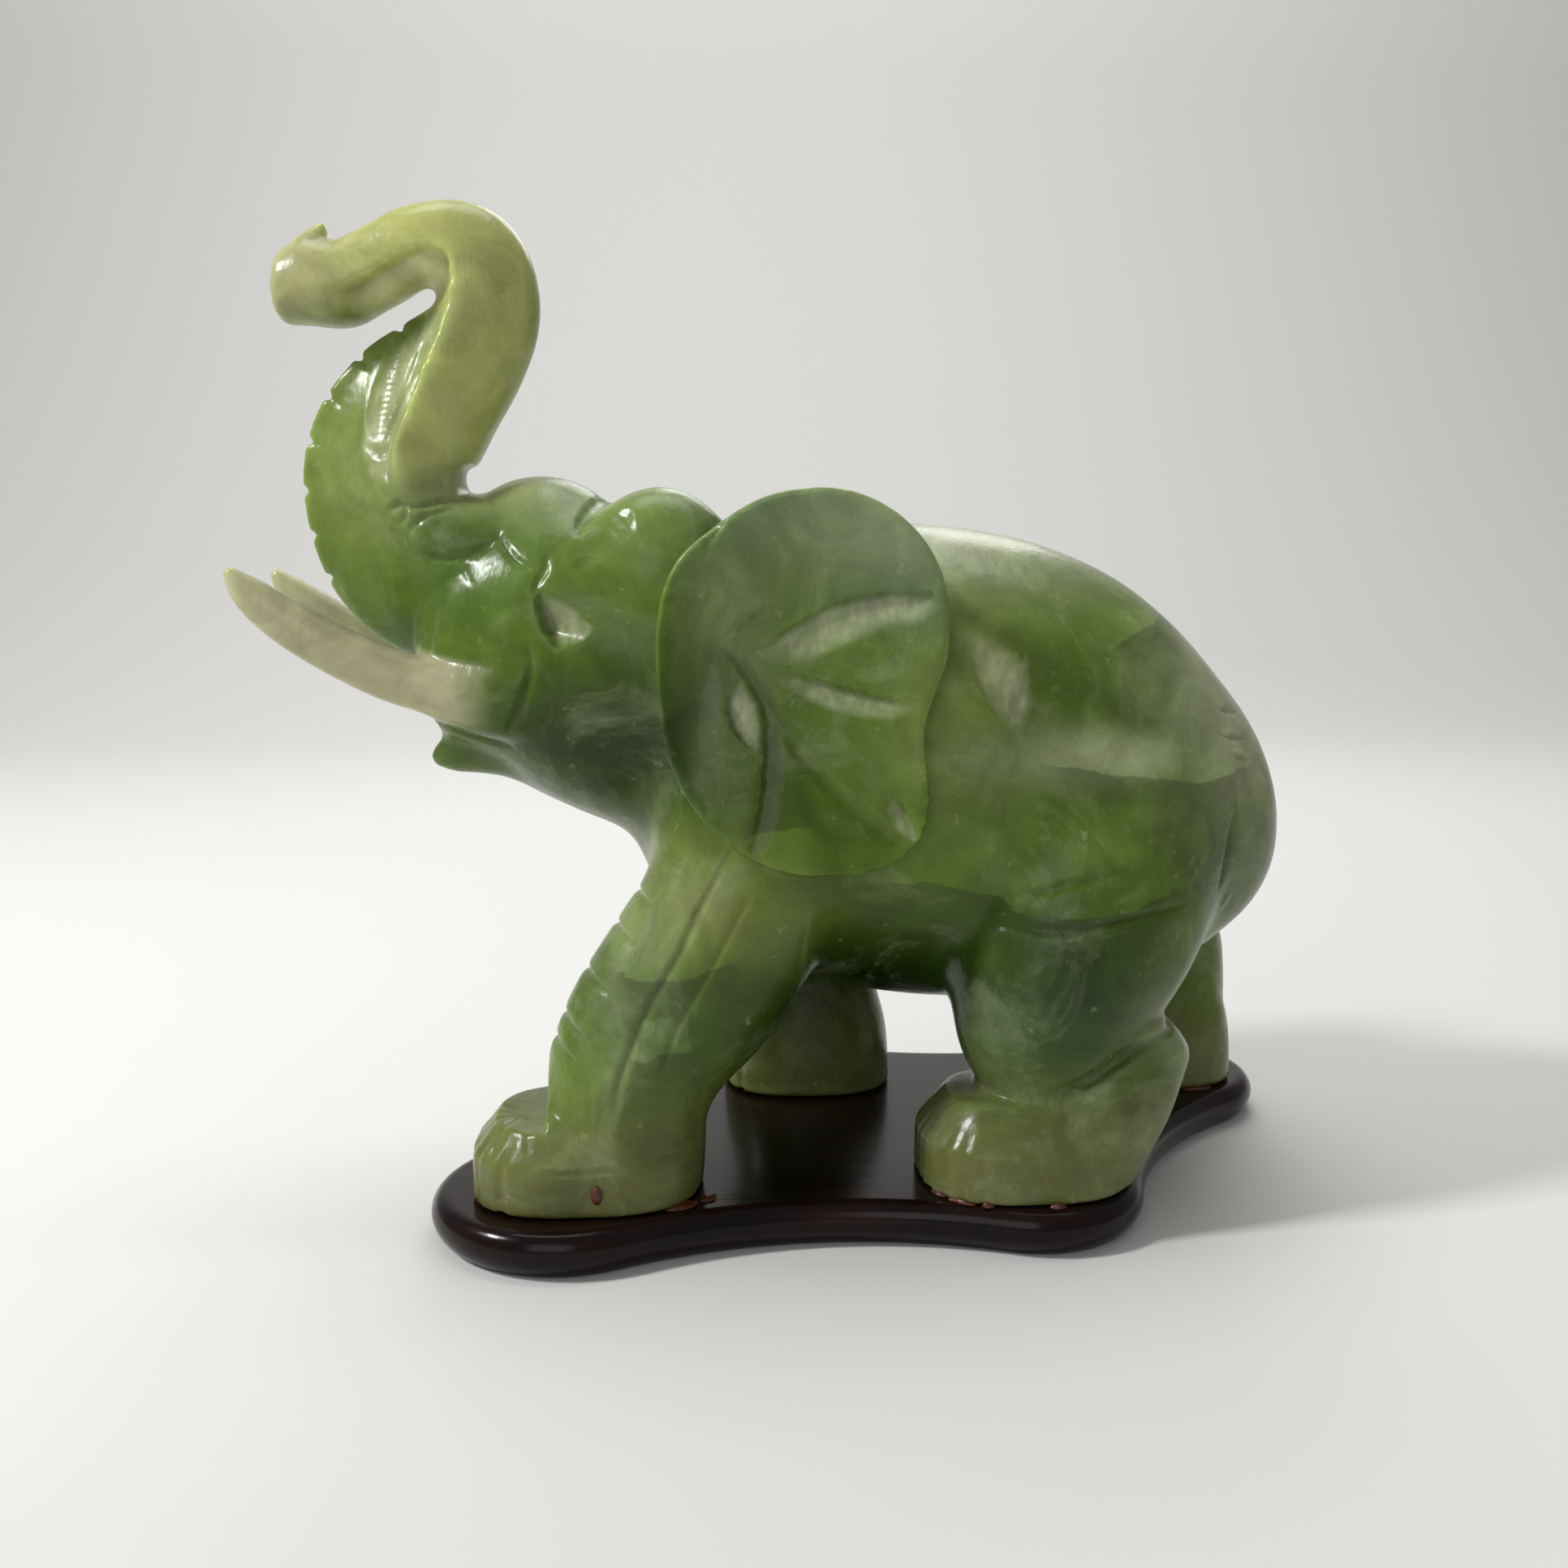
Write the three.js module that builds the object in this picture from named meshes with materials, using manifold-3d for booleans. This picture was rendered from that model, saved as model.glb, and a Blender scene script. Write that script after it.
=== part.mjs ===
// Carved jade elephant with its trunk raised, walking on a lobed hardwood stand.
// Millimetres. X runs from the head (-) to the tail (+), Y across the animal and
// Z up, with z = 0 under the stand and y = 0 in the middle of the animal.
import * as THREE from 'three';
import { LoftGeometry } from 'three/addons/geometries/LoftGeometry.js';
import { mergeVertices } from 'three/addons/utils/BufferGeometryUtils.js';
import Module from 'manifold-3d';

const wasm = await Module();
wasm.setup();

// Driving dimensions
const STAND_THICKNESS = 10;
const GLUE_GAP = 0.3; // between the soles and the top of the stand
const SOLE = STAND_THICKNESS + GLUE_GAP;
const STANCE = 36; // each foot's middle from the middle of the animal
const STEP = { nearFront: -46.5, nearHind: 51.8, farFront: 8.5, farHind: 104.5 }; // feet, along X
const FOOT_RADIUS = 21;
const TUSK_SPREAD = 19; // each tusk from the middle
const EAR_ROOT = { x: -17, y: 41, z: 131 }; // where the folds of an ear meet
const LOBE = { nearFront: 30.5, nearHind: 26.5, farHind: 27, farFront: 27 }; // stand, round each foot
const WAIST_RADIUS = 105; // hollow curve between two lobes

// Turns a closed geometry into a solid that can be joined and cut. A ring drawn together
// to a point leaves faces without area, which are dropped.
function solid(geometry) {
  const bare = new THREE.BufferGeometry().copy(geometry);
  bare.deleteAttribute('normal');
  bare.deleteAttribute('uv');
  const merged = mergeVertices(bare, 1e-4);
  const faces = [];
  for (let i = 0; i < merged.index.count; i += 3) {
    const face = merged.index.array.slice(i, i + 3);
    if (new Set(face).size === 3) faces.push(...face);
  }
  return new wasm.Manifold(new wasm.Mesh({
    numProp: 3,
    vertProperties: Float32Array.from(merged.attributes.position.array),
    triVerts: Uint32Array.from(faces),
  }));
}

// Reflects a geometry to the other side of the animal, with its faces still outwards.
function otherSide(geometry) {
  const mirrored = new THREE.BufferGeometry().copy(geometry).scale(1, -1, 1);
  const order = mirrored.index.array;
  for (let i = 0; i < order.length; i += 3) [order[i], order[i + 1]] = [order[i + 1], order[i]];
  return mirrored;
}

// Smooth value at t (0 to 1) along rows of numbers, passing through each row.
function along(rows, t) {
  const last = rows.length - 1;
  const i = Math.min(Math.floor(t * last), last - 1);
  const f = t * last - i;
  const row = (k) => rows[THREE.MathUtils.clamp(k, 0, last)];
  return rows[i].map((b, n) => {
    const [a, c, d] = [row(i - 1)[n], row(i + 1)[n], row(i + 2)[n]];
    return b + 0.5 * f * (c - a + f * (2 * a - 5 * b + 4 * c - d + f * (3 * (b - c) + d - a)));
  });
}

// Point of a rounded section: n = 2 is an oval, larger n is squarer.
function oval(angle, n = 2) {
  const round = (v) => Math.sign(v) * Math.abs(v) ** (2 / n);
  return [round(Math.cos(angle)), round(Math.sin(angle))];
}

// Rings that close the end of a loft with a dome: [share of the length, share of the size].
const DOME = [0, 25, 50, 72].map((degrees) => {
  const a = THREE.MathUtils.degToRad(degrees);
  return [Math.sin(a), Math.cos(a)];
});

// The place, direction and section axes at t along a limb whose rows start x, y, z.
function stationOn(rows, t) {
  const values = along(rows, t);
  const point = (row) => new THREE.Vector3(...row.slice(0, 3));
  const centre = point(values);
  const before = point(along(rows, Math.max(t - 0.01, 0)));
  const ahead = point(along(rows, Math.min(t + 0.01, 1))).sub(before).normalize();
  const across = new THREE.Vector3(0, 1, 0).addScaledVector(ahead, -ahead.y).normalize();
  const back = new THREE.Vector3().crossVectors(across, ahead);
  return { values, centre, ahead, across, back };
}

// Limb through rows [x, y, z, half depth, half width, ...]. Its sections stand square to
// its path, depth is in the plane of the path, and section() may shape them.
function limb(rows, { steps = 14, sides = 16, nose = 1, section = (a, v) => {
  const [u, w] = oval(a);
  return [u * v[3], w * v[4]];
} } = {}) {
  const ring = (t, shift, scale) => {
    const { values, centre, ahead, across, back } = stationOn(rows, t);
    const length = shift * nose * Math.min(values[3], values[4]);
    return Array.from({ length: sides }, (_, i) => {
      const [u, w] = section((i / sides) * 2 * Math.PI, values);
      return centre.clone().addScaledVector(ahead, length)
        .addScaledVector(back, u * scale).addScaledVector(across, w * scale);
    });
  };
  const rings = [
    ...DOME.slice(1).reverse().map(([length, size]) => ring(0, -length, size)),
    ...Array.from({ length: steps + 1 }, (_, i) => ring(i / steps, 0, 1)),
    ...DOME.slice(1).map(([length, size]) => ring(1, length, size)),
  ];
  return new LoftGeometry(rings, { capStart: true, capEnd: true });
}

// Barrel through rows [x, top, bottom, half width], with upright sections, tail end first.
function barrel(rows, { steps = 14, sides = 24, squareness = 2.15 } = {}) {
  const rings = Array.from({ length: steps + 1 }, (_, i) => {
    const [x, top, bottom, width] = along(rows, i / steps);
    return Array.from({ length: sides }, (_, k) => {
      const [u, w] = oval((k / sides) * 2 * Math.PI, squareness);
      return new THREE.Vector3(x, w * width, (top + bottom) / 2 + (u * (top - bottom)) / 2);
    });
  });
  return new LoftGeometry(rings, { capStart: true, capEnd: true });
}

// Egg-shaped swelling.
function swelling(x, y, z, length, width, height) {
  return new THREE.SphereGeometry(1, 14, 8).scale(length, width, height).translate(x, y, z);
}

// Torso: the round rump at the tail end, the back, the belly and the chest.
const TORSO = [
  [119.5, 90, 80, 7], [117, 101, 71, 18], [111.5, 113, 63, 27], [103, 124, 56, 33.5],
  [92, 136, 49, 38.5], [78, 146.5, 45, 42], [60, 154, 43.5, 44], [42, 157.5, 43, 45],
  [22, 159, 45, 45], [4, 158.5, 49, 43.5], [-12, 156, 54, 40], [-24, 149, 62, 34],
  [-32, 139, 72, 26], [-36, 126, 86, 14],
];

// Skull and neck, from inside the shoulders to the face.
const SKULL = [
  [6, 150, 70, 34], [-10, 153, 76, 35], [-22, 157, 80, 35.5], [-34, 161, 84, 35],
  [-46, 163.5, 88.5, 33.5], [-57, 164, 94, 31], [-66, 161.5, 101, 27.5],
  [-74, 156.5, 105, 24], [-81, 149, 109, 20], [-86, 139, 116, 12],
];

// Lower jaw, ending in a small pointed lip.
const JAW = [
  [-22, 0, 100, 18, 22], [-38, 0, 101, 14.5, 20], [-52, 0, 103, 11.5, 15],
  [-64, 0, 104.5, 7.5, 11], [-74, 0, 104, 5.2, 7.5], [-80, 0, 103.6, 4.8, 5.5],
  [-82.6, 0, 103, 3.4, 3.8],
];

// Tusk, from its swelling in the cheek to the chisel-cut tip; y is set for each side.
const TUSK = [
  [-48, 0, 122, 13, 13], [-62, 0, 119.5, 11.5, 11.5], [-73, 0, 119.5, 9, 8.6],
  [-81, 0, 121, 6.6, 6.4], [-91, 0, 124, 6, 5.8], [-102, 0, 129.3, 5.7, 5.4],
  [-113, 0, 136, 5.2, 4.6], [-120.5, 0, 142, 4, 3.4], [-124.5, 0, 146.5, 1.7, 1.6],
].map(([x, , z, ...size]) => [x, -TUSK_SPREAD, z, ...size]);

// Trunk. The path is the sharp side ridge, the back is round, and the front narrows to a
// keel: rows [x, y, z, back, half width, front, keel], where keel 1 is a full wedge.
const TRUNK = [
  [-58, 0, 142, 22, 21, 22, 0], [-74, 0, 150, 17, 20, 27, 0.3], [-84, 0, 158, 12.5, 18, 27, 0.8],
  [-89.5, 0, 171, 16.5, 16.5, 22.6, 1], [-85, 0, 186, 18.5, 15.5, 18, 1],
  [-78.5, 0, 199, 19.2, 14, 10.5, 1], [-75.5, 0, 208, 19, 13, 5, 0.7],
  [-77.5, 0, 215.5, 17.6, 12, 5.5, 0.3], [-84, 0, 218, 12, 11, 6.5, 0.1],
  [-92.5, 0, 213.5, 12, 10, 6.5, 0.1], [-101, 0, 211, 11, 10.5, 8.3, 0],
  [-109, 0, 210.5, 12, 10, 7.5, 0], [-114, 0, 211, 8, 7.5, 6, 0],
];
const KEEL_EDGE = 1.6; // half thickness of the keel at its front
const FINGER = [
  [-106, 0, 212, 5, 7], [-107, 0, 218, 4.6, 6.5], [-106.3, 0, 222.5, 3, 4.6], [-105.2, 0, 225, 1.2, 2],
];

function trunkSection(angle, [, , , back, width, front, keel]) {
  const [u, w] = oval(angle);
  if (u >= 0) return [u * back, w * width];
  const side = Math.sign(w) * Math.min(1, Math.abs(w) * 6);
  const wedge = side * (KEEL_EDGE + (width - KEEL_EDGE) * (1 + u) ** 1.25);
  return [u * front, THREE.MathUtils.lerp(w * width, wedge, keel)];
}

// Legs, rows [x, y, z, half depth, half width], from inside the body down past the sole.
const LEGS = {
  nearFront: [
    [0, -12, 118, 22, 18], [-3, -22, 98, 25, 22], [-10, -29, 77, 22, 21],
    [-21, -32, 58, 22.5, 19.5], [-32, -34, 44, 20.5, 18], [-38, -35.5, 31, 18.5, 17.5],
    [-38.5, -36, 19, 18.5, 18], [-38.5, -36, 6, 18, 18.5],
  ],
  farFront: [
    [-6, 12, 114, 22, 18], [-6, 24, 93, 25, 21], [-4, 30, 72, 21, 19], [2, 33, 54, 18, 17.5],
    [7, 35, 40, 16.5, 16.5], [8.5, 36, 28, 18, 17.5], [8.5, 36, 6, 20, 19],
  ],
  nearHind: [
    [76, -10, 112, 22, 20], [76, -21, 91, 28, 23], [68.5, -29, 72, 28, 22.5], [61, -34, 57, 25.5, 20],
    [58, -35, 47, 23, 18.5], [57, -35.5, 39, 20, 17], [57, -36, 31, 15, 14], [56, -36, 20, 14, 14],
  ],
  farHind: [
    [84, 10, 111, 23, 20], [88, 22, 90, 28, 23], [94, 30, 70, 25, 20], [100, 34, 56, 20, 17.5],
    [107, 36, 46, 17, 16], [108, 36, 36, 16.5, 16], [106.5, 36, 24, 18, 17], [105.8, 36, 6, 19.5, 18.5],
  ],
};

// Lower hind leg, slanting from the hock that juts out behind down into the foot.
const HOCK = [
  [79, -35, 42.5, 13, 14.5], [72, -36, 32, 16, 17], [64.5, -36, 19.5, 16.5, 19], [58, -36, 8, 16.5, 19.5],
];

// Foot: rows [height above the sole, share of the radius]. reach stretches it towards the
// toes, and shallow grooves part the nails there.
const FOOT_PROFILE = [[0, 0.98], [7, 1], [12, 0.98], [16, 0.88], [18.5, 0.72]];
const NAIL_GROOVE = 0.035;

function foot(x, y, reach = 1) {
  const sides = 28;
  const rings = FOOT_PROFILE.map(([height, share]) => Array.from({ length: sides }, (_, i) => {
    const angle = (i / sides) * 2 * Math.PI;
    const [u, w] = oval(angle, 2.5);
    const nails = u < -0.15 ? NAIL_GROOVE * Math.max(0, Math.cos(7 * angle)) : 0;
    const radius = FOOT_RADIUS * (share - nails);
    return new THREE.Vector3(x + u * radius * reach, y + w * radius, SOLE + height);
  }));
  return new LoftGeometry(rings, { capStart: true, capEnd: true });
}

// Ear: its reach from the root of the folds every 22.5 degrees, from the tail round by the top.
const EAR_REACH = [49, 49.4, 44.2, 34.5, 25, 20, 16, 13.5, 13, 14, 17.5, 26.5, 40, 53, 60, 47.5];
const EAR_RIM_Y = 49; // outer face at the rim
const EAR_THICKNESS = 5;
// Folds of the ear [angle in degrees, spread in degrees, height]: hollows are negative.
const EAR_FOLDS = [[8, 6, -2.6], [-6, 6, 1.4], [-19, 4, -2], [-31, 6, 0.8], [-47, 5, -2.6], [-82, 20, 3]];
// Samples round the ear: fine steps across the folds, coarse ones round the rest.
const EAR_ANGLES = [
  ...Array.from({ length: 25 }, (_, i) => -104 + 5 * i),
  ...Array.from({ length: 12 }, (_, i) => 32 + 18.6 * i),
].map(THREE.MathUtils.degToRad);
const EYE = { x: -49, y: 34, z: 136.5, tilt: 42 }; // scooped eye, tilt in degrees

function ear() {
  const around = [...EAR_REACH, ...EAR_REACH, ...EAR_REACH].map((reach) => [reach]);
  const last = around.length - 1;
  const reachAt = (angle) => along(around, (EAR_REACH.length * (1 + angle / (2 * Math.PI))) / last)[0];
  const fold = (angle) => EAR_FOLDS.reduce((sum, [middle, spread, height]) => {
    const off = THREE.MathUtils.euclideanModulo(THREE.MathUtils.radToDeg(angle) - middle + 180, 360) - 180;
    return sum + height * Math.exp(-((off / spread) ** 2));
  }, 0);
  const outer = (angle, s) => {
    return THREE.MathUtils.lerp(EAR_ROOT.y, EAR_RIM_Y, s) + fold(angle) * s * (3.2 - 2.4 * s);
  };
  const ring = (share, depth) => EAR_ANGLES.map((angle) => {
    const r = reachAt(angle) * share;
    const [dx, dz] = [r * Math.cos(angle), r * Math.sin(angle)];
    return new THREE.Vector3(EAR_ROOT.x + dx, -depth(angle), EAR_ROOT.z + dz);
  });
  const rings = [
    ring(0, () => 10), ring(0.82, () => 34),
    ring(0.97, (a) => outer(a, 1) - EAR_THICKNESS), ring(1, (a) => outer(a, 1) - EAR_THICKNESS / 2),
    ...[0.97, 0.82, 0.62, 0.38, 0].map((s) => ring(s, (a) => outer(a, s))),
  ];
  return new LoftGeometry(rings);
}

// Scooped almond that stands for an eye.
function eye() {
  const scoop = swelling(0, 0, 0, 7.5, 4, 3.2).rotateY(THREE.MathUtils.degToRad(EYE.tilt));
  return scoop.translate(EYE.x, -EYE.y, EYE.z);
}

// Shallow lines cut in the stone, each through [x, y, z] points on its surface.
const LINE_RADIUS = 0.9;
const FLANK_LINES = [
  [[46, -43, 76], [54, -47.5, 78], [62.5, -49, 80.3], [73.5, -48, 83]],
  [[43.5, -43.5, 70], [58.5, -51.3, 69.8], [73, -50.6, 72.6], [86, -44, 73]],
];
const FRONT_LEG_LINES = [
  [[-21, -48.2, 75], [-26, -49.6, 65], [-34.8, -51.1, 49.3], [-38.3, -52, 38]],
  [[-12, -49.5, 74], [-19.3, -50.2, 62.6], [-26.7, -50.6, 50.4], [-30, -51.8, 39]],
];

function line(points) {
  return limb(points.map((point) => [...point, LINE_RADIUS, LINE_RADIUS]), { steps: 4, sides: 5 });
}

// Tail, lying in low relief down the rump and swung to one side.
const TAIL = [
  [104, -4, 122, 3.4, 3.4], [112, -8, 111, 4, 4], [113.5, -16, 100, 4, 4.4], [109, -24, 90, 4, 4.6],
  [104.5, -29.5, 80, 3.8, 4.4], [101, -31.5, 72, 2.6, 3],
];

// Cuts across an edge, such as the rings of the trunk: one wedge for each share t of the limb.
function notches(rows, { from, to, count, edge, size, width }) {
  return Array.from({ length: count }, (_, i) => {
    const { values, centre, ahead, across, back } = stationOn(rows, from + ((to - from) * i) / (count - 1));
    const frame = new THREE.Matrix4().makeBasis(ahead, across, back.clone().negate());
    frame.setPosition(centre.addScaledVector(back, -edge(values)));
    return new THREE.CylinderGeometry(size, size, width, 4).applyMatrix4(frame);
  });
}

function elephant() {
  const bodies = [
    barrel(TORSO), barrel(SKULL, { steps: 11, sides: 22 }),
    swelling(-57, 0, 148, 22, 20, 21.5), // forehead
    limb(JAW, { steps: 8, sides: 14 }),
    limb(TRUNK, { steps: 25, sides: 20, section: trunkSection, nose: 0.6 }),
    limb(FINGER, { steps: 4, sides: 10, nose: 0.7 }),
    limb(TAIL, { steps: 6, sides: 8 }),
    ...Object.values(LEGS).map((rows) => limb(rows, { steps: 9, sides: 14 })),
    limb(HOCK, { steps: 4, sides: 14, nose: 0.5 }),
    foot(STEP.nearFront, -STANCE, 1.2), foot(STEP.nearHind, -STANCE, 1.12),
    foot(STEP.farFront, STANCE, 1.06), foot(STEP.farHind, STANCE),
  ];
  const pairs = [
    limb(TUSK, { steps: 10, sides: 10, nose: 0.8 }),
    swelling(-29, -12.5, 143, 20, 17, 23.5), // dome of the head
    ear(),
  ];
  const pairedCuts = [eye(), ...FLANK_LINES.map(line)];
  const cuts = [
    ...notches(TRUNK, { from: 0.2, to: 0.43, count: 8, edge: (v) => v[5], size: 1.5, width: 12 }),
    ...notches(LEGS.nearFront, { from: 0.36, to: 0.64, count: 4, edge: (v) => -v[3], size: 1.6, width: 24 }),
    ...FRONT_LEG_LINES.map(line), ...pairedCuts, ...pairedCuts.map(otherSide),
  ];
  const masses = [...bodies, ...pairs, ...pairs.map(otherSide)];
  const joined = masses.map(solid).reduce((all, one) => all.add(one));
  const ground = new THREE.BoxGeometry(400, 400, 40).translate(0, 0, SOLE - 20);
  return [ground, ...cuts].map(solid).reduce((all, one) => all.subtract(one), joined);
}

// Outline of the stand: a round lobe under each foot, joined by hollow arcs that run
// smoothly into them, taken in by inset.
function standOutline(inset) {
  const lobes = [
    [-51, -35, LOBE.nearFront], [54, -35, LOBE.nearHind], [106, 36, LOBE.farHind], [8, 36, LOBE.farFront],
  ].map(([x, y, r]) => ({ centre: new THREE.Vector2(x, y), r: r - inset }));
  const waist = WAIST_RADIUS + inset;
  const hollows = lobes.map((a, i) => {
    const b = lobes[(i + 1) % lobes.length];
    const [ra, rb] = [a.r + waist, b.r + waist];
    const between = b.centre.clone().sub(a.centre);
    const gap = between.length();
    const near = (ra ** 2 - rb ** 2 + gap ** 2) / (2 * gap);
    const out = new THREE.Vector2(between.y, -between.x).normalize();
    return a.centre.clone().addScaledVector(between.normalize(), near)
      .addScaledVector(out, Math.sqrt(ra ** 2 - near ** 2));
  });
  return lobes.flatMap(({ centre, r }, i) => {
    const before = hollows[(i + 3) % 4].clone().sub(centre).angle();
    const after = hollows[i].clone().sub(centre).angle();
    const next = lobes[(i + 1) % 4].centre;
    const arc = (middle, radius, from, turn, count) => Array.from({ length: count }, (_, k) => {
      const angle = from + (turn * k) / count;
      return new THREE.Vector2(middle.x + radius * Math.cos(angle), middle.y + radius * Math.sin(angle));
    });
    const lobeTurn = THREE.MathUtils.euclideanModulo(after - before, 2 * Math.PI);
    const start = centre.clone().sub(hollows[i]).angle();
    const end = next.clone().sub(hollows[i]).angle();
    const hollowTurn = THREE.MathUtils.euclideanModulo(end - start + Math.PI, 2 * Math.PI) - Math.PI;
    return [...arc(centre, r, before, lobeTurn, 11), ...arc(hollows[i], waist, start, hollowTurn, 5)];
  });
}

// Profile of the stand's edge: rows [z, inset], rounded above and drawn in below.
const STAND_EDGE = [[0, 3], [2, 1.3], [5, 0], [7.6, 0.4], [9.3, 1.6], [STAND_THICKNESS, 3.6]];

function stand() {
  const rings = STAND_EDGE.map(([z, inset]) => {
    return standOutline(inset).map(({ x, y }) => new THREE.Vector3(x, y, z));
  });
  return solid(new LoftGeometry(rings, { capStart: true, capEnd: true }));
}

function mesh(name, body, look) {
  const { vertProperties, triVerts } = body.getMesh();
  const geometry = new THREE.BufferGeometry();
  geometry.setAttribute('position', new THREE.BufferAttribute(vertProperties, 3));
  geometry.setIndex(new THREE.BufferAttribute(triVerts, 1));
  geometry.computeVertexNormals();
  const piece = new THREE.Mesh(geometry, new THREE.MeshStandardMaterial(look));
  piece.name = name;
  return piece;
}

const figurine = new THREE.Group();
figurine.add(
  mesh('elephant', elephant(), { color: 0x7ea05c, roughness: 0.22, metalness: 0 }),
  mesh('stand', stand(), { color: 0x2a1715, roughness: 0.3, metalness: 0 }),
);

// The origin is under the middle of the whole figurine.
const box = new THREE.Box3().setFromObject(figurine);
figurine.position.set(-(box.min.x + box.max.x) / 2, -(box.min.y + box.max.y) / 2, -box.min.z);

export default figurine;
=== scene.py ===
import math
from functools import lru_cache

import bmesh
import bpy
import numpy as np
from mathutils import Matrix, Vector


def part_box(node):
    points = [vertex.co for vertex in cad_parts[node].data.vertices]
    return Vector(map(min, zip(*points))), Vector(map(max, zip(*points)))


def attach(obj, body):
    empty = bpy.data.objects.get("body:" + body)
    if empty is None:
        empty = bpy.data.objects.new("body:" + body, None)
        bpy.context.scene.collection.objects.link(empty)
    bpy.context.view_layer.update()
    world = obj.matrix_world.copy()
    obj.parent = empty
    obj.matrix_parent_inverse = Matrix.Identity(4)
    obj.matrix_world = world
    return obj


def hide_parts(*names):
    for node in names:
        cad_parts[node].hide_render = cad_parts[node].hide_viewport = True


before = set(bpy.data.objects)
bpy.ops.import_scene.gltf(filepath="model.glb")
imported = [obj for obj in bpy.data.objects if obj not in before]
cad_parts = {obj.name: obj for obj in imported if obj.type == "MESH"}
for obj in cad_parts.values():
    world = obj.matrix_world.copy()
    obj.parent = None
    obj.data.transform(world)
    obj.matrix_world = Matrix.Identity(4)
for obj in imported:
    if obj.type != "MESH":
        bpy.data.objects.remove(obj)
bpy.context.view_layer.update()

# STAND. A thin plate of dense hardwood sawn to a waisted outline with a round lobe under
# each foot, its edge worked to a full round and drawn in below, stained nearly black and
# lacquered. The elephant is glued on top.
STAND_LOBES = [(-51, -35, 30.5), (54, -35, 26.5), (106, 36, 27), (8, 36, 27)]  # x, y, radius, mm
STAND_WAIST = 105  # radius of the hollow arcs
# Height, and how far the outline is taken in there.
STAND_EDGE = [(0, 3.4), (0.5, 2.7), (1.2, 2.0), (2.2, 1.2), (3.4, 0.5), (4.8, 0.05), (6.0, 0.0),
              (7.2, 0.25), (8.2, 0.75), (9.0, 1.4), (9.6, 2.2), (9.9, 3.0), (10, 3.9)]
FROM_STAND = Vector((-81.47, -65.27, 0))  # low corner of the stand in the carver's own frame
TO_ROW = Matrix.Translation(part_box("stand")[0]) @ Matrix.Scale(0.001, 4) @ Matrix.Translation(-FROM_STAND)


def stand_outline(inset):
    """The outline taken in by inset: four lobe arcs and the hollow arcs that run into them."""
    lobes = [(Vector((x, y)), r - inset) for x, y, r in STAND_LOBES]
    waist = STAND_WAIST + inset
    hollows = []
    for i, (a, ra) in enumerate(lobes):
        b, rb = lobes[(i + 1) % 4]
        gap = (b - a).length
        near = ((ra + waist) ** 2 - (rb + waist) ** 2 + gap ** 2) / (2 * gap)
        line = (b - a).normalized()
        out = Vector((line.y, -line.x))
        hollows.append(a + line * near + out * math.sqrt((ra + waist) ** 2 - near ** 2))
    points = []
    for i, (centre, r) in enumerate(lobes):
        arcs = [(centre, r, hollows[i - 1] - centre, hollows[i] - centre, 36),
                (hollows[i], waist, centre - hollows[i], lobes[(i + 1) % 4][0] - hollows[i], 24)]
        for (middle, radius, start, end, count), full in zip(arcs, (True, False)):
            first = math.atan2(start.y, start.x)
            turn = (math.atan2(end.y, end.x) - first) % (2 * math.pi)
            turn = turn if full else turn - 2 * math.pi
            for k in range(count):
                angle = first + turn * k / count
                points.append(middle + radius * Vector((math.cos(angle), math.sin(angle))))
    return points


bm = bmesh.new()
loops = []
for height, inset in STAND_EDGE:
    ring = [bm.verts.new((p.x, p.y, height)) for p in stand_outline(inset)]
    loops.append([bm.edges.new((ring[k - 1], ring[k])) for k in range(len(ring))])
for lower, upper in zip(loops, loops[1:]):
    bmesh.ops.bridge_loops(bm, edges=lower + upper)
for loop in (loops[0], loops[-1]):
    bmesh.ops.contextual_create(bm, geom=loop)
bmesh.ops.recalc_face_normals(bm, faces=bm.faces)
bmesh.ops.transform(bm, matrix=TO_ROW, verts=bm.verts)
for face in bm.faces:
    face.smooth = len(face.verts) == 4
stand_mesh = bpy.data.meshes.new("stand_plate")
bm.to_mesh(stand_mesh)
bm.free()
stand = bpy.data.objects.new("stand_plate", stand_mesh)
bpy.context.collection.objects.link(stand)
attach(stand, "root")
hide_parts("stand")


def colour(text):
    """Linear colour of an sRGB hex value."""
    parts = [int(text[k:k + 2], 16) / 255 for k in (1, 3, 5)]
    return tuple(c / 12.92 if c <= 0.04045 else ((c + 0.055) / 1.055) ** 2.4 for c in parts) + (1,)


def add(tree, kind, inputs=None, **settings):
    """Adds a node with its settings, values and links."""
    made = tree.nodes.new(kind)
    for name, value in settings.items():
        setattr(made, name, value)
    for name, value in (inputs or {}).items():
        if isinstance(value, bpy.types.NodeSocket):
            tree.links.new(value, made.inputs[name])
        else:
            made.inputs[name].default_value = value
    return made


# Lacquered rosewood, stained nearly black: a faint red-brown grain, in streaks about 33 mm
# long and 4 mm wide, under a gloss that handling has clouded in patches of about 33 mm.
rosewood = bpy.data.materials.new("lacquered_rosewood")
rosewood.use_nodes = True
tree = rosewood.node_tree
surface = tree.nodes["Principled BSDF"]
place = add(tree, "ShaderNodeTexCoord").outputs["Object"]
along_grain = add(tree, "ShaderNodeMapping", {"Vector": place, "Scale": (30, 260, 260)}).outputs["Vector"]
grain = add(tree, "ShaderNodeTexNoise",
            {"Vector": along_grain, "Scale": 1.0, "Detail": 6.0, "Roughness": 0.6})
cloud = add(tree, "ShaderNodeTexNoise", {"Vector": place, "Scale": 30.0, "Detail": 3.0})
blend = add(tree, "ShaderNodeMath", {0: grain.outputs["Fac"], 1: cloud.outputs["Fac"]}, operation="MULTIPLY")
tone = add(tree, "ShaderNodeValToRGB", {"Fac": blend.outputs[0]})
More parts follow.
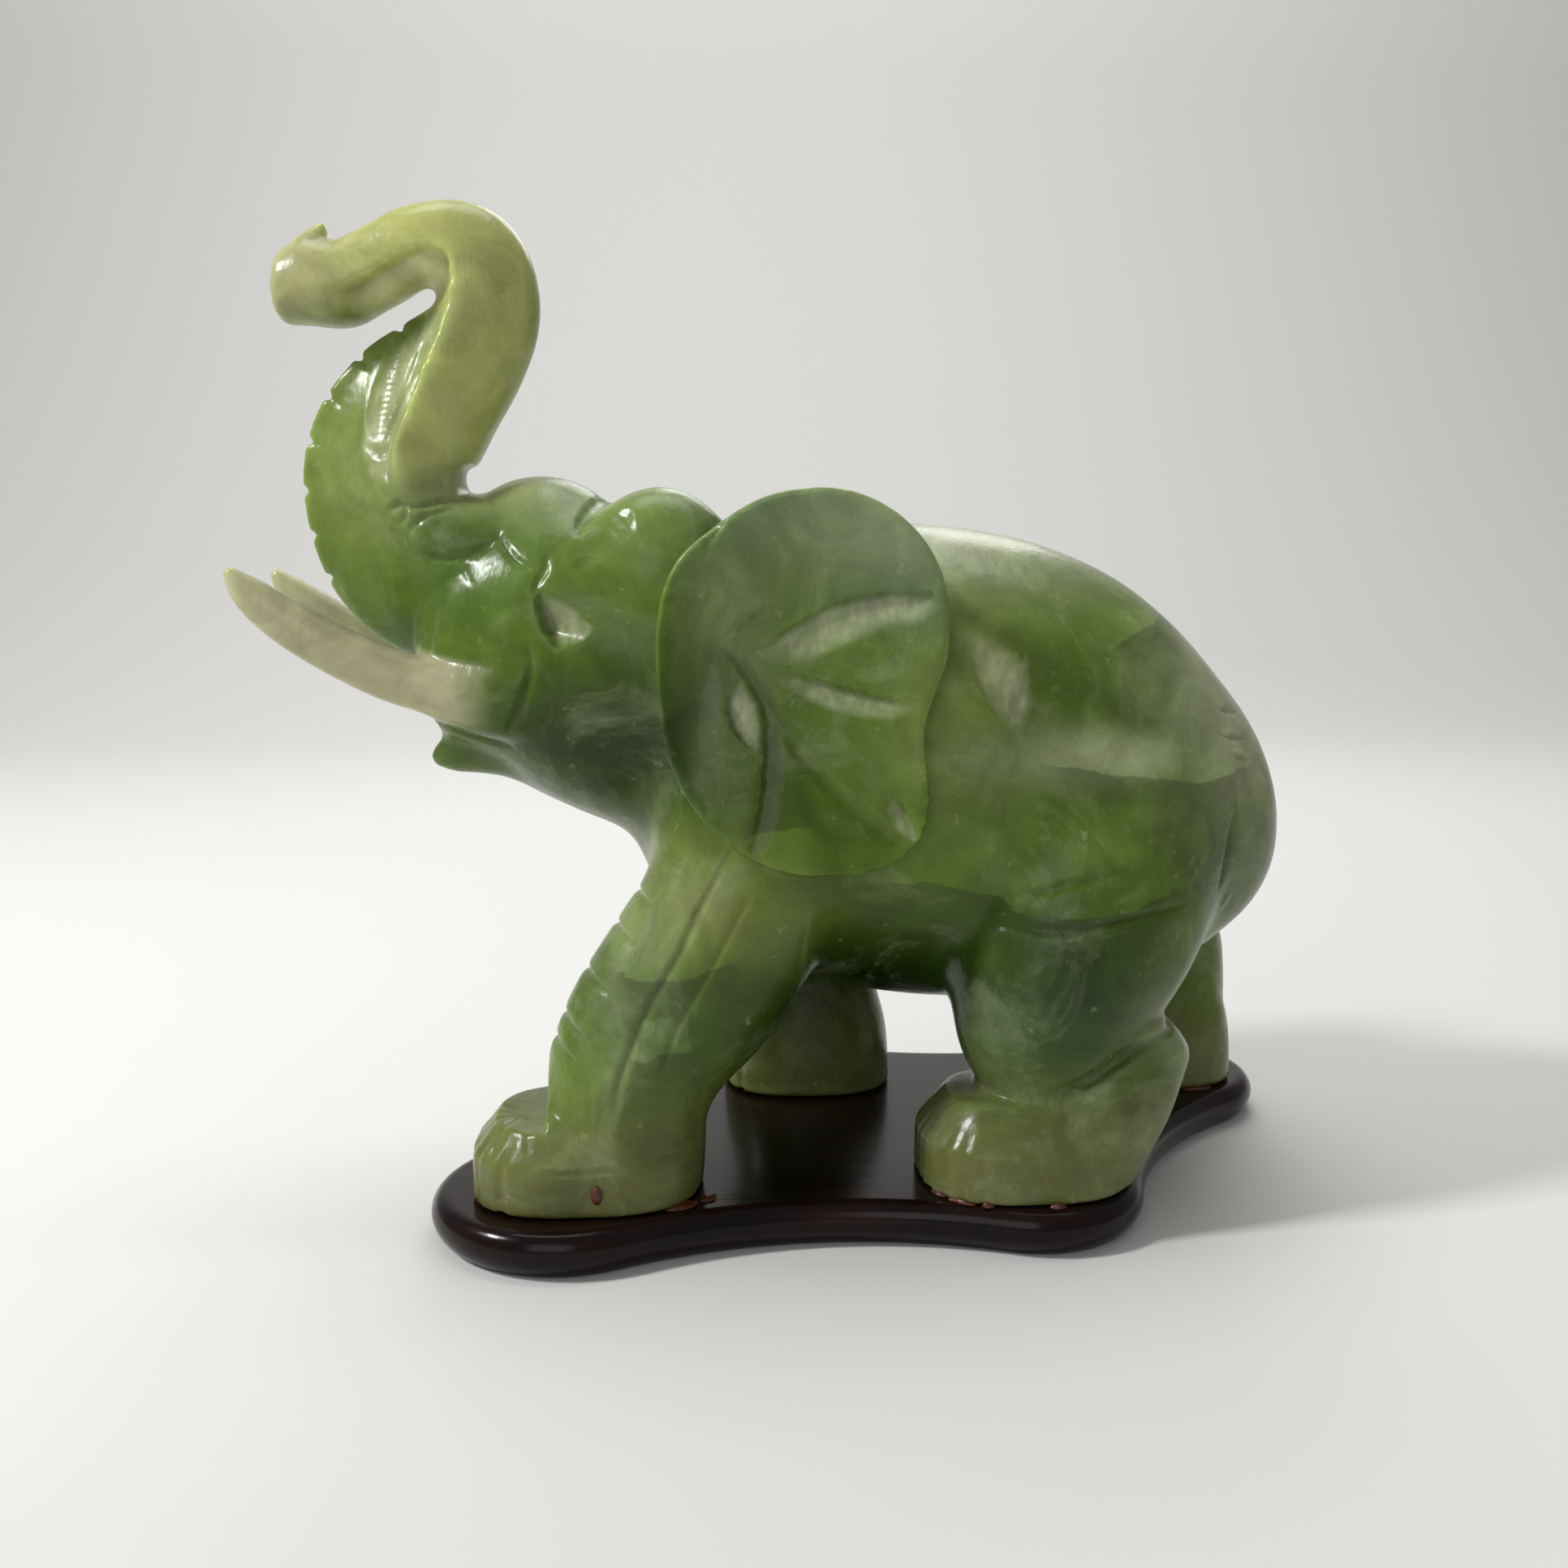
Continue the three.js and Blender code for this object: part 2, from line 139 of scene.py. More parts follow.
tone.color_ramp.elements[0].position = 0.12
tone.color_ramp.elements[0].color = colour("#080505")
tone.color_ramp.elements[1].position = 0.42
tone.color_ramp.elements[1].color = colour("#23120f")
tree.links.new(tone.outputs["Color"], surface.inputs["Base Color"])
rough = add(tree, "ShaderNodeMapRange", {"Value": cloud.outputs["Fac"], "To Min": 0.12, "To Max": 0.26})
tree.links.new(rough.outputs[0], surface.inputs["Roughness"])
pores = add(tree, "ShaderNodeBump", {"Height": grain.outputs["Fac"], "Strength": 0.25, "Distance": 0.0003})
tree.links.new(pores.outputs["Normal"], surface.inputs["Normal"])
surface.inputs["IOR"].default_value = 1.5
surface.inputs["Specular IOR Level"].default_value = 0.2
stand_mesh.materials.append(rosewood)

# ELEPHANT. One block of green jade, roughed out as masses, the joints ground soft, the
# folds, notches and nails cut with small wheels, and the whole polished. Sizes are in
# millimetres, with the head towards -X and the middle of the animal at y = 0.
SOLE = 10.3
# TORSO and SKULL rows are (x, top, bottom, half width), the others (x, y, z, half depth, half width).
TORSO = [
    (119.5, 90, 80, 7), (117, 101, 71, 18), (111.5, 113, 63, 27), (103, 124, 56, 33.5),
    (92, 136, 49, 38.5), (78, 146.5, 45, 42), (60, 154, 43.5, 44), (42, 157.5, 43, 45),
    (22, 159, 45, 45), (4, 158.5, 49, 43.5), (-12, 156, 54, 40), (-24, 149, 62, 34),
    (-32, 139, 72, 26), (-36, 126, 86, 14),
]
SKULL = [
    (6, 150, 70, 34), (-10, 153, 76, 35), (-22, 157, 80, 35.5), (-34, 161, 84, 35),
    (-46, 163.5, 88.5, 33.5), (-57, 164, 94, 31), (-66, 161.5, 101, 27.5),
    (-74, 156.5, 105, 24), (-81, 149, 109, 20), (-86, 139, 116, 12),
]
JAW = [
    (-22, 0, 100, 18, 22), (-38, 0, 101, 14.5, 20), (-52, 0, 103, 11.5, 15),
    (-64, 0, 104.5, 7.5, 11), (-74, 0, 104, 5.2, 7.5), (-80, 0, 103.6, 4.8, 5.5),
    (-82.6, 0, 103, 3.4, 3.8),
]
LEGS = [
    [(0, -12, 118, 22, 18), (-3, -22, 98, 25, 22), (-10, -29, 77, 22, 21),
     (-21, -32, 58, 22.5, 19.5), (-32, -34, 44, 20.5, 18.3), (-38, -35.5, 31, 19, 18.8),
     (-39.5, -36, 20, 19.8, 20), (-41, -36, 10, 20.5, 20.8)],
    [(-6, 12, 114, 22, 18), (-6, 24, 93, 25, 21), (-4, 30, 72, 21, 19), (2, 33, 54, 18, 17.5),
     (7, 35, 40, 16.8, 16.6), (8.5, 36, 22, 19.5, 19)],
    [(76, -10, 112, 22, 20), (76, -21, 91, 28, 23), (68.5, -29, 72, 28, 22.5),
     (61, -34, 57, 25.5, 20), (58, -35, 47, 23, 18.5), (57, -35.5, 39, 20, 17),
     (57, -36, 31, 15, 14), (56, -36, 22, 13, 13)],
    [(84, 10, 111, 23, 20), (88, 22, 90, 28, 23), (94, 30, 70, 25, 20), (100, 34, 56, 20, 17.5),
     (107, 36, 46, 17, 16), (107.5, 36, 34, 17.5, 17), (106, 36, 22, 19, 18)],
]


def along(rows, t):
    """Smooth row of numbers at t, 0 to 1, passing through each row."""
    last = len(rows) - 1
    i = min(int(t * last), last - 1)
    f = t * last - i
    a, b, c, d = (np.array(rows[min(max(k, 0), last)], float) for k in (i - 1, i, i + 1, i + 2))
    return b + 0.5 * f * (c - a + f * (2 * a - 5 * b + 4 * c - d + f * (3 * (b - c) + d - a)))


def oval(turn, n=2.0):
    """Point of a rounded section: n = 2 is an oval, larger n is squarer."""
    c, s = math.cos(turn), math.sin(turn)
    return math.copysign(abs(c) ** (2 / n), c), math.copysign(abs(s) ** (2 / n), s)


def shaped_ball(bm, rings, sides, shape):
    """A ball whose vertices go where shape(share from pole to pole, turn) says."""
    ball = bmesh.new()
    bmesh.ops.create_uvsphere(ball, u_segments=sides, v_segments=rings, radius=1)
    for v in ball.verts:
        share = math.acos(max(-1.0, min(1.0, v.co.z))) / math.pi
        v.co = shape(round(share * rings) / rings, math.atan2(v.co.y, v.co.x))
    part = bpy.data.meshes.new("part")
    ball.to_mesh(part)
    ball.free()
    bm.from_mesh(part)
    bpy.data.meshes.remove(part)


def limb(bm, rows, rings=70, sides=48, nose=1.0, section=None):
    """Rounded limb through rows (x, y, z, half depth, half width, ...), with domed ends."""
    end = 0.12

    @lru_cache(maxsize=None)
    def station(share):
        t = min(max((share - end) / (1 - 2 * end), 0), 1)
        beyond = max(end - share, share - 1 + end, 0) / end * math.pi / 2
        values = along(rows, t)
        step = along(rows, min(t + 0.01, 1))[:3] - along(rows, max(t - 0.01, 0))[:3]
        ahead = Vector(step).normalized()
        across = (Vector((0, 1, 0)) - ahead * ahead.y).normalized()
        reach = nose * min(values[3], values[4]) * math.sin(beyond)
        middle = Vector(values[:3]) + ahead * (reach if share > 0.5 else -reach)
        return values, middle, across.cross(ahead) * math.cos(beyond), across * math.cos(beyond)

    def shape(share, turn):
        values, middle, back, across = station(share)
        if section:
            u, w = section(turn, values)
        else:
            u, w = math.cos(turn) * values[3], math.sin(turn) * values[4]
        return middle + back * u + across * w

    shaped_ball(bm, rings, sides, shape)


def barrel(bm, rows):
    """Mass with upright, slightly squared sections through rows (x, top, bottom, half width)."""
    end, square = 0.06, 2.15

    @lru_cache(maxsize=None)
    def station(share):
        t = min(max((share - end) / (1 - 2 * end), 0), 1)
        return along(rows, t), math.cos(max(end - share, share - 1 + end, 0) / end * math.pi / 2)

    def shape(share, turn):
        (x, top, bottom, width), size = station(share)
        u, w = oval(turn, square)
        return Vector((x, w * width * size, (top + bottom) / 2 + u * (top - bottom) / 2 * size))

    shaped_ball(bm, 90, 72, shape)


def swelling(bm, x, y, z, length, width, height):
    """Egg-shaped swelling."""
    size = Matrix.Translation((x, y, z)) @ Matrix.Diagonal((length, width, height, 1))
    bmesh.ops.create_uvsphere(bm, u_segments=48, v_segments=32, radius=1, matrix=size)


def fused(bm, voxel):
    """All the closed shapes of bm as one skin, as an object's mesh."""
    bmesh.ops.recalc_face_normals(bm, faces=bm.faces)
    rough_mesh = bpy.data.meshes.new("rough")
    bm.to_mesh(rough_mesh)
    bm.free()
    rough_block = bpy.data.objects.new("rough", rough_mesh)
    bpy.context.collection.objects.link(rough_block)
    skin = rough_block.modifiers.new("skin", "REMESH")
    skin.mode = "VOXEL"
    skin.voxel_size = voxel
    evaluated = rough_block.evaluated_get(bpy.context.evaluated_depsgraph_get())
    mesh = bpy.data.meshes.new_from_object(evaluated)
    bpy.data.objects.remove(rough_block)
    bpy.data.meshes.remove(rough_mesh)
    return mesh


def soften(mesh, times, weight=0.5):
    """Rubs the skin down: each vertex moves towards the middle of its neighbours."""
    count = len(mesh.vertices)
    co = np.empty(count * 3)
    mesh.vertices.foreach_get("co", co)
    co = co.reshape(-1, 3)
    ends = np.empty(len(mesh.edges) * 2, int)
    mesh.edges.foreach_get("vertices", ends)
    one, two = ends.reshape(-1, 2).T
    near = np.bincount(one, minlength=count) + np.bincount(two, minlength=count)
    weight = weight(co) if callable(weight) else np.full(count, weight)
    for _ in range(times):
        for k in range(3):
            total = np.bincount(one, co[two, k], count) + np.bincount(two, co[one, k], count)
            co[:, k] += weight * (total / near - co[:, k])
    mesh.vertices.foreach_set("co", co.ravel())
    mesh.update()


def near_joints(co):
    """Where a leg grows out of the body, or the neck out of the shoulders."""
    soft = np.zeros(len(co))
    for x, y, z, reach in [(70, -42, 88, 24), (88, 38, 88, 24), (-6, -40, 84, 20), (-4, 38, 80, 22),
                           (-25, -34, 80, 16), (-30, 34, 84, 16), (50, -25, 48, 16), (75, 22, 48, 16),
                           (0, -20, 52, 16), (15, 20, 52, 16), (-30, 0, 82, 14), (-14, 0, 158, 12)]:
        soft = np.maximum(soft, np.exp(-(((co - (x, y, z)) ** 2).sum(1)) / reach ** 2))
    return 0.5 * soft


# The big masses first, ground together at the shoulders and haunches.
bm = bmesh.new()
barrel(bm, TORSO)
barrel(bm, SKULL)
limb(bm, JAW)
swelling(bm, -57, 0, 148, 22, 20, 21.5)
for side in (-1, 1):
    swelling(bm, -29, 12.5 * side, 143, 20, 17, 23.5)
for rows in LEGS:
    limb(bm, rows)
masses = fused(bm, 1.6)
soften(masses, 8)
soften(masses, 90, near_joints)

# Trunk: a round back, a sharp side ridge, and a keel at the front with hollow flanks. Rows
# are (x, y, z, depth behind the ridge, half width, depth before it, how keeled it is).
TRUNK = [
    (-58, 0, 142, 22, 21, 22, 0), (-74, 0, 150, 17, 20, 27, 0.3), (-84, 0, 158, 12.5, 18, 27, 0.8),
    (-89.5, 0, 171, 16.5, 16.5, 22.6, 1), (-85, 0, 186, 18.5, 15.5, 18, 1),
    (-78.5, 0, 199, 19.2, 14, 10.5, 1), (-75.5, 0, 208, 19, 13, 5, 0.7),
    (-77.5, 0, 215.5, 17.6, 12, 5.5, 0.3), (-84, 0, 218, 12, 11, 6.5, 0.1),
    (-92.5, 0, 213.5, 12, 10, 6.5, 0.1), (-101, 0, 211, 11, 10.5, 8.3, 0),
    (-109, 0, 210.5, 12, 10, 7.5, 0), (-113.6, 0, 210.5, 9.8, 9, 7.4, 0),
]
FINGER = [(-108.6, 0, 212, 7.2, 7.5), (-108.6, 0, 217, 6.2, 6.6), (-107, 0, 221.5, 3.8, 4.8),
          (-105.6, 0, 225, 1.3, 2)]
TUSK = [  # x, z, half depth, half width
    (-48, 122, 13, 13), (-62, 119.5, 11.5, 11.5), (-73, 119.5, 9, 8.6), (-81, 121, 6.6, 6.4),
    (-91, 124, 6, 5.8), (-102, 129.3, 5.7, 5.4), (-113, 136, 5.2, 4.6), (-120.5, 142, 4, 3.4),
    (-124.5, 146.5, 1.7, 1.6),
]
TUSK_SPREAD = 19
TAIL = [
    (101, -3, 119, 3.0, 3.2), (108.6, -7.3, 109.5, 3.2, 3.8), (110.2, -14.5, 98.5, 3.2, 4.2),
    (106, -22, 88.5, 3.2, 4.4), (101.8, -27.3, 79.2, 3.0, 4.2), (98.5, -29.8, 72, 2.4, 3),
]
HOCK = [(79, -35, 42.5, 13, 14.5), (72, -36, 32, 16, 17), (64.5, -36, 19.5, 16.5, 19),
        (58, -36, 8, 16.5, 19.5)]
KEEL_EDGE = 1.6  # half width of the keel where it is narrowest


def trunk_section(turn, values):
    """Round behind the ridge, and a wedge with hollow flanks before it."""
    back, width, front, keel = values[3:]
    u, w = oval(turn)
    if u >= 0:
        return u * back, w * width
    side = math.copysign(min(1, abs(w) * 6), w)
    wedge = side * (KEEL_EDGE + (width - KEEL_EDGE) * (1 + u) ** 1.5)
    return u * front, w * width * (1 - keel) + wedge * keel


# Feet: the near ones are blocks with a bevelled top, drawn out towards the toes, and the
# far ones run up into the leg like a bell. Each row is (height, share of the radius).
FEET = [(-46.5, -36, 1.2), (51.8, -36, 1.12), (8.5, 36, 1.06), (104.5, 36, 1.0)]  # x, y, reach
FOOT_RADIUS = 21
FOOT_SQUARE = 2.7  # how squared the feet are in plan, where 2 is round
BLOCK = [(0, 0), (0, 0.5), (0, 0.97), (2, 1), (6, 1), (10, 0.995), (11.4, 0.965), (15, 0.85),
         (18.6, 0.73), (19.8, 0.66), (20.3, 0.4), (20.5, 0)]
BELL = [(0, 0), (0, 0.5), (0, 0.97), (3, 1), (9, 0.995), (16, 0.96), (23, 0.88), (30, 0.78),
        (36, 0.6), (38, 0)]


def foot(bm, x, y, reach, profile):
    """A foot standing at SOLE, with reach as its length over its width."""
    def shape(share, turn):
        height, size = along(profile, 1 - share)
        u, w = oval(turn, FOOT_SQUARE)
        return Vector((x + u * size * FOOT_RADIUS * reach, y + w * size * FOOT_RADIUS, SOLE + height))
    shaped_ball(bm, 40, 64, shape)


# Ears: a thin leaf on each side of the head, dished round the place where its folds meet.
EAR_ROOT = (-17, 41, 131)
# Reach of the rim from the root every 22.5 degrees, from the tail's side round by the top.
EAR_REACH = [49, 49.4, 44.2, 34.5, 25, 20, 16, 13.5, 13, 14, 17.5, 26.5, 40, 53, 60, 47.5]
EAR_RIM_Y = 49
EAR_THICKNESS = 4.2
EAR_BACK_Y = 10  # how deep in the head the back of the ear starts
EAR_TIP_TURN = 82  # degrees below level, where the ear swells outwards
EAR_TIP_SPREAD = 22
EAR_TIP_OUT = 3


def ear(bm, side):
    """A dished leaf, which the first half of the ball's rows faces outwards and the rest backs."""
    around = [(r,) for r in EAR_REACH * 3]

    def shape(share, turn):
        turn = -turn * side
        front = share < 0.5
        s = share * 2 if front else 2 - share * 2
        s = math.sin(s * math.pi / 2)
        reach = along(around, 16 * (1 + turn / (2 * math.pi)) / (len(around) - 1))[0]
        off_tip = abs((math.degrees(turn) + EAR_TIP_TURN + 180) % 360 - 180) / EAR_TIP_SPREAD
        swell = EAR_TIP_OUT * math.exp(-off_tip ** 2)
        outer = EAR_ROOT[1] + (EAR_RIM_Y - EAR_ROOT[1]) * s + swell * s * (3.2 - 2.4 * s)
        if not front:
            outer = EAR_BACK_Y + (outer - EAR_THICKNESS - EAR_BACK_Y) * min(1, s / 0.97) ** 3
        return Vector((EAR_ROOT[0] + reach * s * math.cos(turn), side * outer,
                       EAR_ROOT[2] + reach * s * math.sin(turn)))

    shaped_ball(bm, 60, 120, shape)


bm = bmesh.new()
limb(bm, TRUNK, rings=170, sides=72, nose=0.4, section=trunk_section)
limb(bm, FINGER, rings=40, sides=32, nose=0.7)
limb(bm, TAIL, rings=60, sides=24)
limb(bm, HOCK, rings=50, sides=48, nose=0.5)
for side in (-1, 1):
    limb(bm, [(x, side * TUSK_SPREAD, z, depth, width) for x, z, depth, width in TUSK], sides=40, nose=0.8)
    ear(bm, side)
for (x, y, reach), profile in zip(FEET, (BLOCK, BLOCK, BELL, BELL)):
    foot(bm, x, y, reach, profile)
bm.from_mesh(masses)
bpy.data.meshes.remove(masses)
everything = bm.verts[:] + bm.edges[:] + bm.faces[:]
bmesh.ops.bisect_plane(bm, geom=everything, plane_co=(0, 0, SOLE), plane_no=(0, 0, 1), clear_inner=True)
bmesh.ops.holes_fill(bm, edges=[e for e in bm.edges if e.is_boundary], sides=0)
jade_mesh = fused(bm, 0.7)


def away_from_edges(co):
    """The keel, the tusks, the feet and the rims of the ears stay crisp; the rest is rubbed."""
    thin = (co[:, 0] < -86) & (co[:, 2] > 112) | (co[:, 2] < 30)
    rim = np.abs(co[:, 1]) > 40
    rim &= (co[:, 0] > -34) & (co[:, 0] < 36) & (co[:, 2] > 80)
    return np.where(thin, 0.12, np.where(rim, 0.2, 0.5))


soften(jade_mesh, 10, away_from_edges)

# The cuts, each a line seen from the side, as (x, z, half width) points: a round-nosed
# wheel takes depth millimetres at the widest point and runs out at the ends.
skin_co = np.empty(len(jade_mesh.vertices) * 3)
jade_mesh.vertices.foreach_get("co", skin_co)
skin_co = skin_co.reshape(-1, 3)
skin_normal = np.empty(skin_co.size)


def measure_normals():
    """Puts the cut skin back into the mesh and reads its normals again."""
    jade_mesh.vertices.foreach_set("co", skin_co.ravel())
    jade_mesh.update()
    jade_mesh.vertex_normals.foreach_get("vector", skin_normal.reshape(-1))


measure_normals()
skin_normal = skin_normal.reshape(-1, 3)
NEAR, BOTH = (-1,), (-1, 1)


def nearest_on(points, plane):
    """Each point's distance from the line, the line's width there, and the side it lies on."""
    best = np.full(len(plane), 1e9)
    width = np.zeros(len(plane))
    side = np.zeros(len(plane))
    place = np.zeros(len(plane))
    for i in range(len(points) - 1):
        a, b = np.array(points[i][:2]), np.array(points[i + 1][:2])
        step = b - a
        t = np.clip((plane - a) @ step / (step @ step), 0, 1)
        off = plane - a - t[:, None] * step
        d = np.hypot(off[:, 0], off[:, 1])
        closer = d < best
        best[closer] = d[closer]
        width[closer] = (points[i][2] * (1 - t) + points[i + 1][2] * t)[closer]
        side[closer] = np.sign(step[0] * off[:, 1] - step[1] * off[:, 0])[closer]
        place[closer] = ((i + t) / (len(points) - 1))[closer]
    return best, width, side, place


def facing(points, side, turned=0.1):
    """The vertices on one side of the animal, near a line and turned outwards."""
    line = np.array(points, float)
    reach = line[:, 2].max() + 1
    low = line[:, :2].min(0) - reach
    high = line[:, :2].max(0) + reach
    plane = skin_co[:, (0, 2)]
    chosen = ((plane > low) & (plane < high)).all(1)
    if side:
        chosen &= (skin_co[:, 1] * side > 0) & (skin_normal[:, 1] * side > turned)
    return np.nonzero(chosen)[0]


def cut(chosen, amount, side, push=None):
    """Takes stone away straight in, or along push, whose middle number points out of the side."""
    way = -skin_normal[chosen] if push is None else np.array(push, float) * (1, side or 1, 1)
    skin_co[chosen] += way * amount[:, None]


def gouge(points, depth, sides=BOTH, push=None, turned=0.1):
    """Cuts a groove, a leaf-shaped flute or a notch along a line."""
    widest = max(p[2] for p in points)
    for side in sides:
        chosen = facing(points, side, turned=turned)
        d, width, _, _ = nearest_on(points, skin_co[chosen][:, (0, 2)])
        share = np.clip(d / np.maximum(width, 1e-6), 0, 1)
        cut(chosen, depth * (width / widest) * (1 - share ** 2), side, push)


def within(plane, outline):
    """Which points lie inside a closed outline."""
    inside = np.zeros(len(plane), bool)
    x, z = plane.T
    for (ax, az), (bx, bz) in zip(outline, outline[1:] + outline[:1]):
        if az != bz:
            inside ^= ((az > z) != (bz > z)) & (x < (bx - ax) * (z - az) / (bz - az) + ax)
    return inside


facets = []  # every scoop, so that a painted highlight can be laid on its face


def scoop(crisp, fading, depth, full, push=None, highlight_strength=0.45):
    """Hollows the stone between two lines, deepest by the crisp one, where it ends in a step.

    The depth is reached where the lines are full millimetres apart, and the last number sets how much
    painted highlight the scooped face is given."""
    outline = crisp + fading[::-1]
    facets.append((crisp, fading, full, highlight_strength))
    for side in BOTH:
        chosen = facing([(x, z, 1) for x, z in outline], side)
        chosen = chosen[within(skin_co[chosen][:, (0, 2)], outline)]
        plane = skin_co[chosen][:, (0, 2)]
        near, far = (nearest_on([(x, z, 0) for x, z in line], plane)[0] for line in (crisp, fading))
        share = far / (near + far + 1e-6)
        cut(chosen, depth * share * np.clip((near + far) / full, 0, 1), side, push)


def ledge(points, up, down, up_reach, down_reach):
    """Parts two levels along a line: the stone on its right stands up over that on its left."""
    for side in BOTH:
        wide = [(x, z, 2 * max(up_reach, down_reach)) for x, z in points]
        chosen = facing(wide, side)
        d, _, hand, place = nearest_on(wide, skin_co[chosen][:, (0, 2)])
        fade = np.clip(np.minimum(place, 1 - place) * 6, 0, 1)
        lowered = -down * np.exp(-(d / down_reach) ** 2)
        raised = up * np.exp(-(d / up_reach) ** 2)
        amount = np.where(hand > 0, lowered, raised)
        skin_co[chosen] += skin_normal[chosen] * (amount * fade)[:, None]


# Trunk: the scoop under the hook, the flat panel beside the keel with its fine rings, the
# groove along the ridge, and the notches on the keel's edge.
scoop([(-100.5, 208.8), (-95.3, 211.6), (-91.8, 213.8), (-88.2, 215.8), (-84.6, 217.6),
       (-81.4, 218.5), (-78.3, 218.2), (-76.3, 216.8), (-75.4, 214.8), (-75.3, 212.4),
       (-75.8, 209.7), (-78.3, 206.9)],
      [(-100.5, 208.8), (-98.5, 204.4), (-94, 203.8), (-90, 206.5), (-85.5, 209), (-81, 209.5),
       (-78.3, 206.9)],
      3.6, 5, push=(0, -1, 0))
RIDGE = [(-76.1, 208.6), (-77.3, 205.6), (-78.5, 199.3), (-80.3, 195.8), (-82, 192),
         (-83.4, 187.6), (-84.9, 184.1), (-86.3, 180.7), (-87.3, 178.6), (-88.8, 174),
         (-88.6, 169), (-87.4, 164)]
scoop(RIDGE, [(-76.1, 208.6), (-84, 203), (-90.5, 196), (-95, 186), (-97.4, 176), (-95.5, 168),
              (-87.4, 164)], 1.6, 6)
gouge([(-89, 196, 2.6), (-90.5, 188, 4.3), (-91.6, 181, 4), (-92.2, 176, 2.4), (-93, 173.5, 0.4)], 1.1)
RING_COUNT = 13
RING_STEP = 1.42
for k in range(RING_COUNT):
    z = 194.4 - RING_STEP * k
    left = -92.6 - 0.32 * min(k, 8)
    gouge([(left, z, 0.3), (left + 3.6, z + 0.2, 0.6), (left + 7.2, z - 0.2, 0.3)], 0.4)
gouge([(-95.6, 175.2, 0.5), (-92.6, 173.2, 1.4), (-89.6, 174.8, 0.5)], 0.8)
gouge([(-82.2, 198.5, 0.4), (-84.2, 193, 0.8), (-86.2, 187.5, 0.9), (-88.4, 182, 0.9), (-90.2, 177, 0.9),
       (-91.2, 172.5, 0.9), (-90.4, 168.4, 0.8), (-89, 165, 0.4)], 0.8)
KEEL_NOTCHES = [(-88.6, 202.2, 0.5, -0.9), (-97.3, 194.9, 0.65, -0.75), (-104.6, 186.3, 0.8, -0.6),
                (-109.2, 176.5, 0.95, -0.3), (-111, 165.5, 1, 0), (-109.9, 155.4, 0.97, 0.2),
                (-106.2, 145.9, 0.9, 0.4)]  # place, and the way each cuts in
for x, z, dx, dz in KEEL_NOTCHES:
    gouge([(x - 1.5 * dx, z - 1.5 * dz, 1.2), (x + 2.4 * dx, z + 2.4 * dz, 0.6)], 1.4,
          sides=(0,), push=(dx, 0, dz))
gouge([(-91.6, 159.9, 0.4), (-87.5, 161.6, 1.3), (-82.6, 161.6, 1.3), (-78.8, 162.8, 1.1),
       (-73.8, 163.3, 0.4)], 1.3)
gouge([(-89.1, 157.1, 0.4), (-86.8, 158.4, 1), (-86.2, 160.1, 1), (-86.7, 161.1, 0.4)], 0.9)
gouge([(-86.1, 154.6, 0.4), (-84.8, 156.7, 1), (-81.2, 159.4, 1), (-76, 160.9, 0.4)], 0.9)

# Head: brow folds, the scooped eye, the crown's two domes, the cheek and the mouth.
gouge([(-83, 150.8, 0.4), (-80.8, 149.7, 1.2), (-77.2, 149.4, 1.4), (-71.5, 150.4, 1.3), (-67.3, 152.5, 1.1),
       (-64.7, 155.3, 0.4)], 1.0)
gouge([(-65.4, 155.3, 0.4), (-63.6, 152.4, 0.9), (-61.3, 149.6, 1), (-58.4, 147.6, 0.9),
       (-55.3, 146.7, 0.4)], 0.7)
gouge([(-73.5, 150.4, 0.4), (-72.8, 146.9, 0.8), (-70.8, 143.8, 0.4)], 0.5)
scoop([(-55.8, 143.4), (-56, 139.1), (-54.6, 134.6), (-51.2, 129.6)],
      [(-55.8, 143.4), (-53.4, 142.2), (-48, 139.2), (-42.6, 134.6), (-45.6, 131.4), (-51.2, 129.6)], 4.2, 6)
gouge([(-53.7, 151.2, 0.3), (-54.3, 147, 1.1), (-56.2, 143.9, 1), (-56.9, 141.2, 0.3)], 0.9)
gouge([(-39.4, 159.6, 1.2), (-37.2, 158.4, 2.6), (-35.6, 156, 1.2)], 0.8)
gouge([(-49, 146.4, 0.6), (-46, 148.2, 1.7), (-43, 149.8, 0.6)], 0.4)
gouge([(-40.5, 165.5, 1.2), (-43.6, 162, 2.2), (-46.4, 158.2, 2), (-48.1, 154.6, 0.5)], 1.3)
gouge([(-16.5, 157.5, 1.4), (-18.3, 154, 1.9), (-19.6, 150.5, 0.5)], 1.6)
gouge([(-57.9, 129.8, 0.4), (-57.5, 126.3, 1), (-58.1, 122.7, 1.3), (-60.8, 115.5, 1.3),
       (-63.5, 111, 0.4)], 1.0)
gouge([(-81, 111.6, 1.4), (-75, 110.6, 1.5), (-69, 108.6, 1.1), (-63, 107, 0.4)], 1.7)

# Ear: two leaf-shaped flutes, the front lobe folded over, and a long fold to the tip.
scoop([(-10.2, 129.6), (-4.6, 132.6), (1.3, 136.2), (6.4, 139.2), (13.2, 141.3), (19.9, 142.2),
       (27.5, 142.2), (30, 139.6)],
      [(-10.2, 129.6), (-4.7, 128), (1.3, 127.6), (6.4, 129.6), (12.5, 132.2), (19.4, 135.2),
       (26, 136), (30, 139.6)], 2.3, 6)
scoop([(-6.5, 125.6), (-1.2, 125), (4, 123.6), (10, 121.8), (16.8, 120.2), (25, 118.2)],
      [(-6.5, 125.6), (-3, 122.5), (1.3, 119.8), (6.4, 117.5), (13.2, 115.8), (19.3, 115.6),
       (25, 118.2)], 2.0, 5)
gouge([(-16.7, 132.3, 0.4), (-13.2, 134.5, 1), (-8.9, 137.9, 1), (-4.7, 140.5, 0.3)], 0.9)
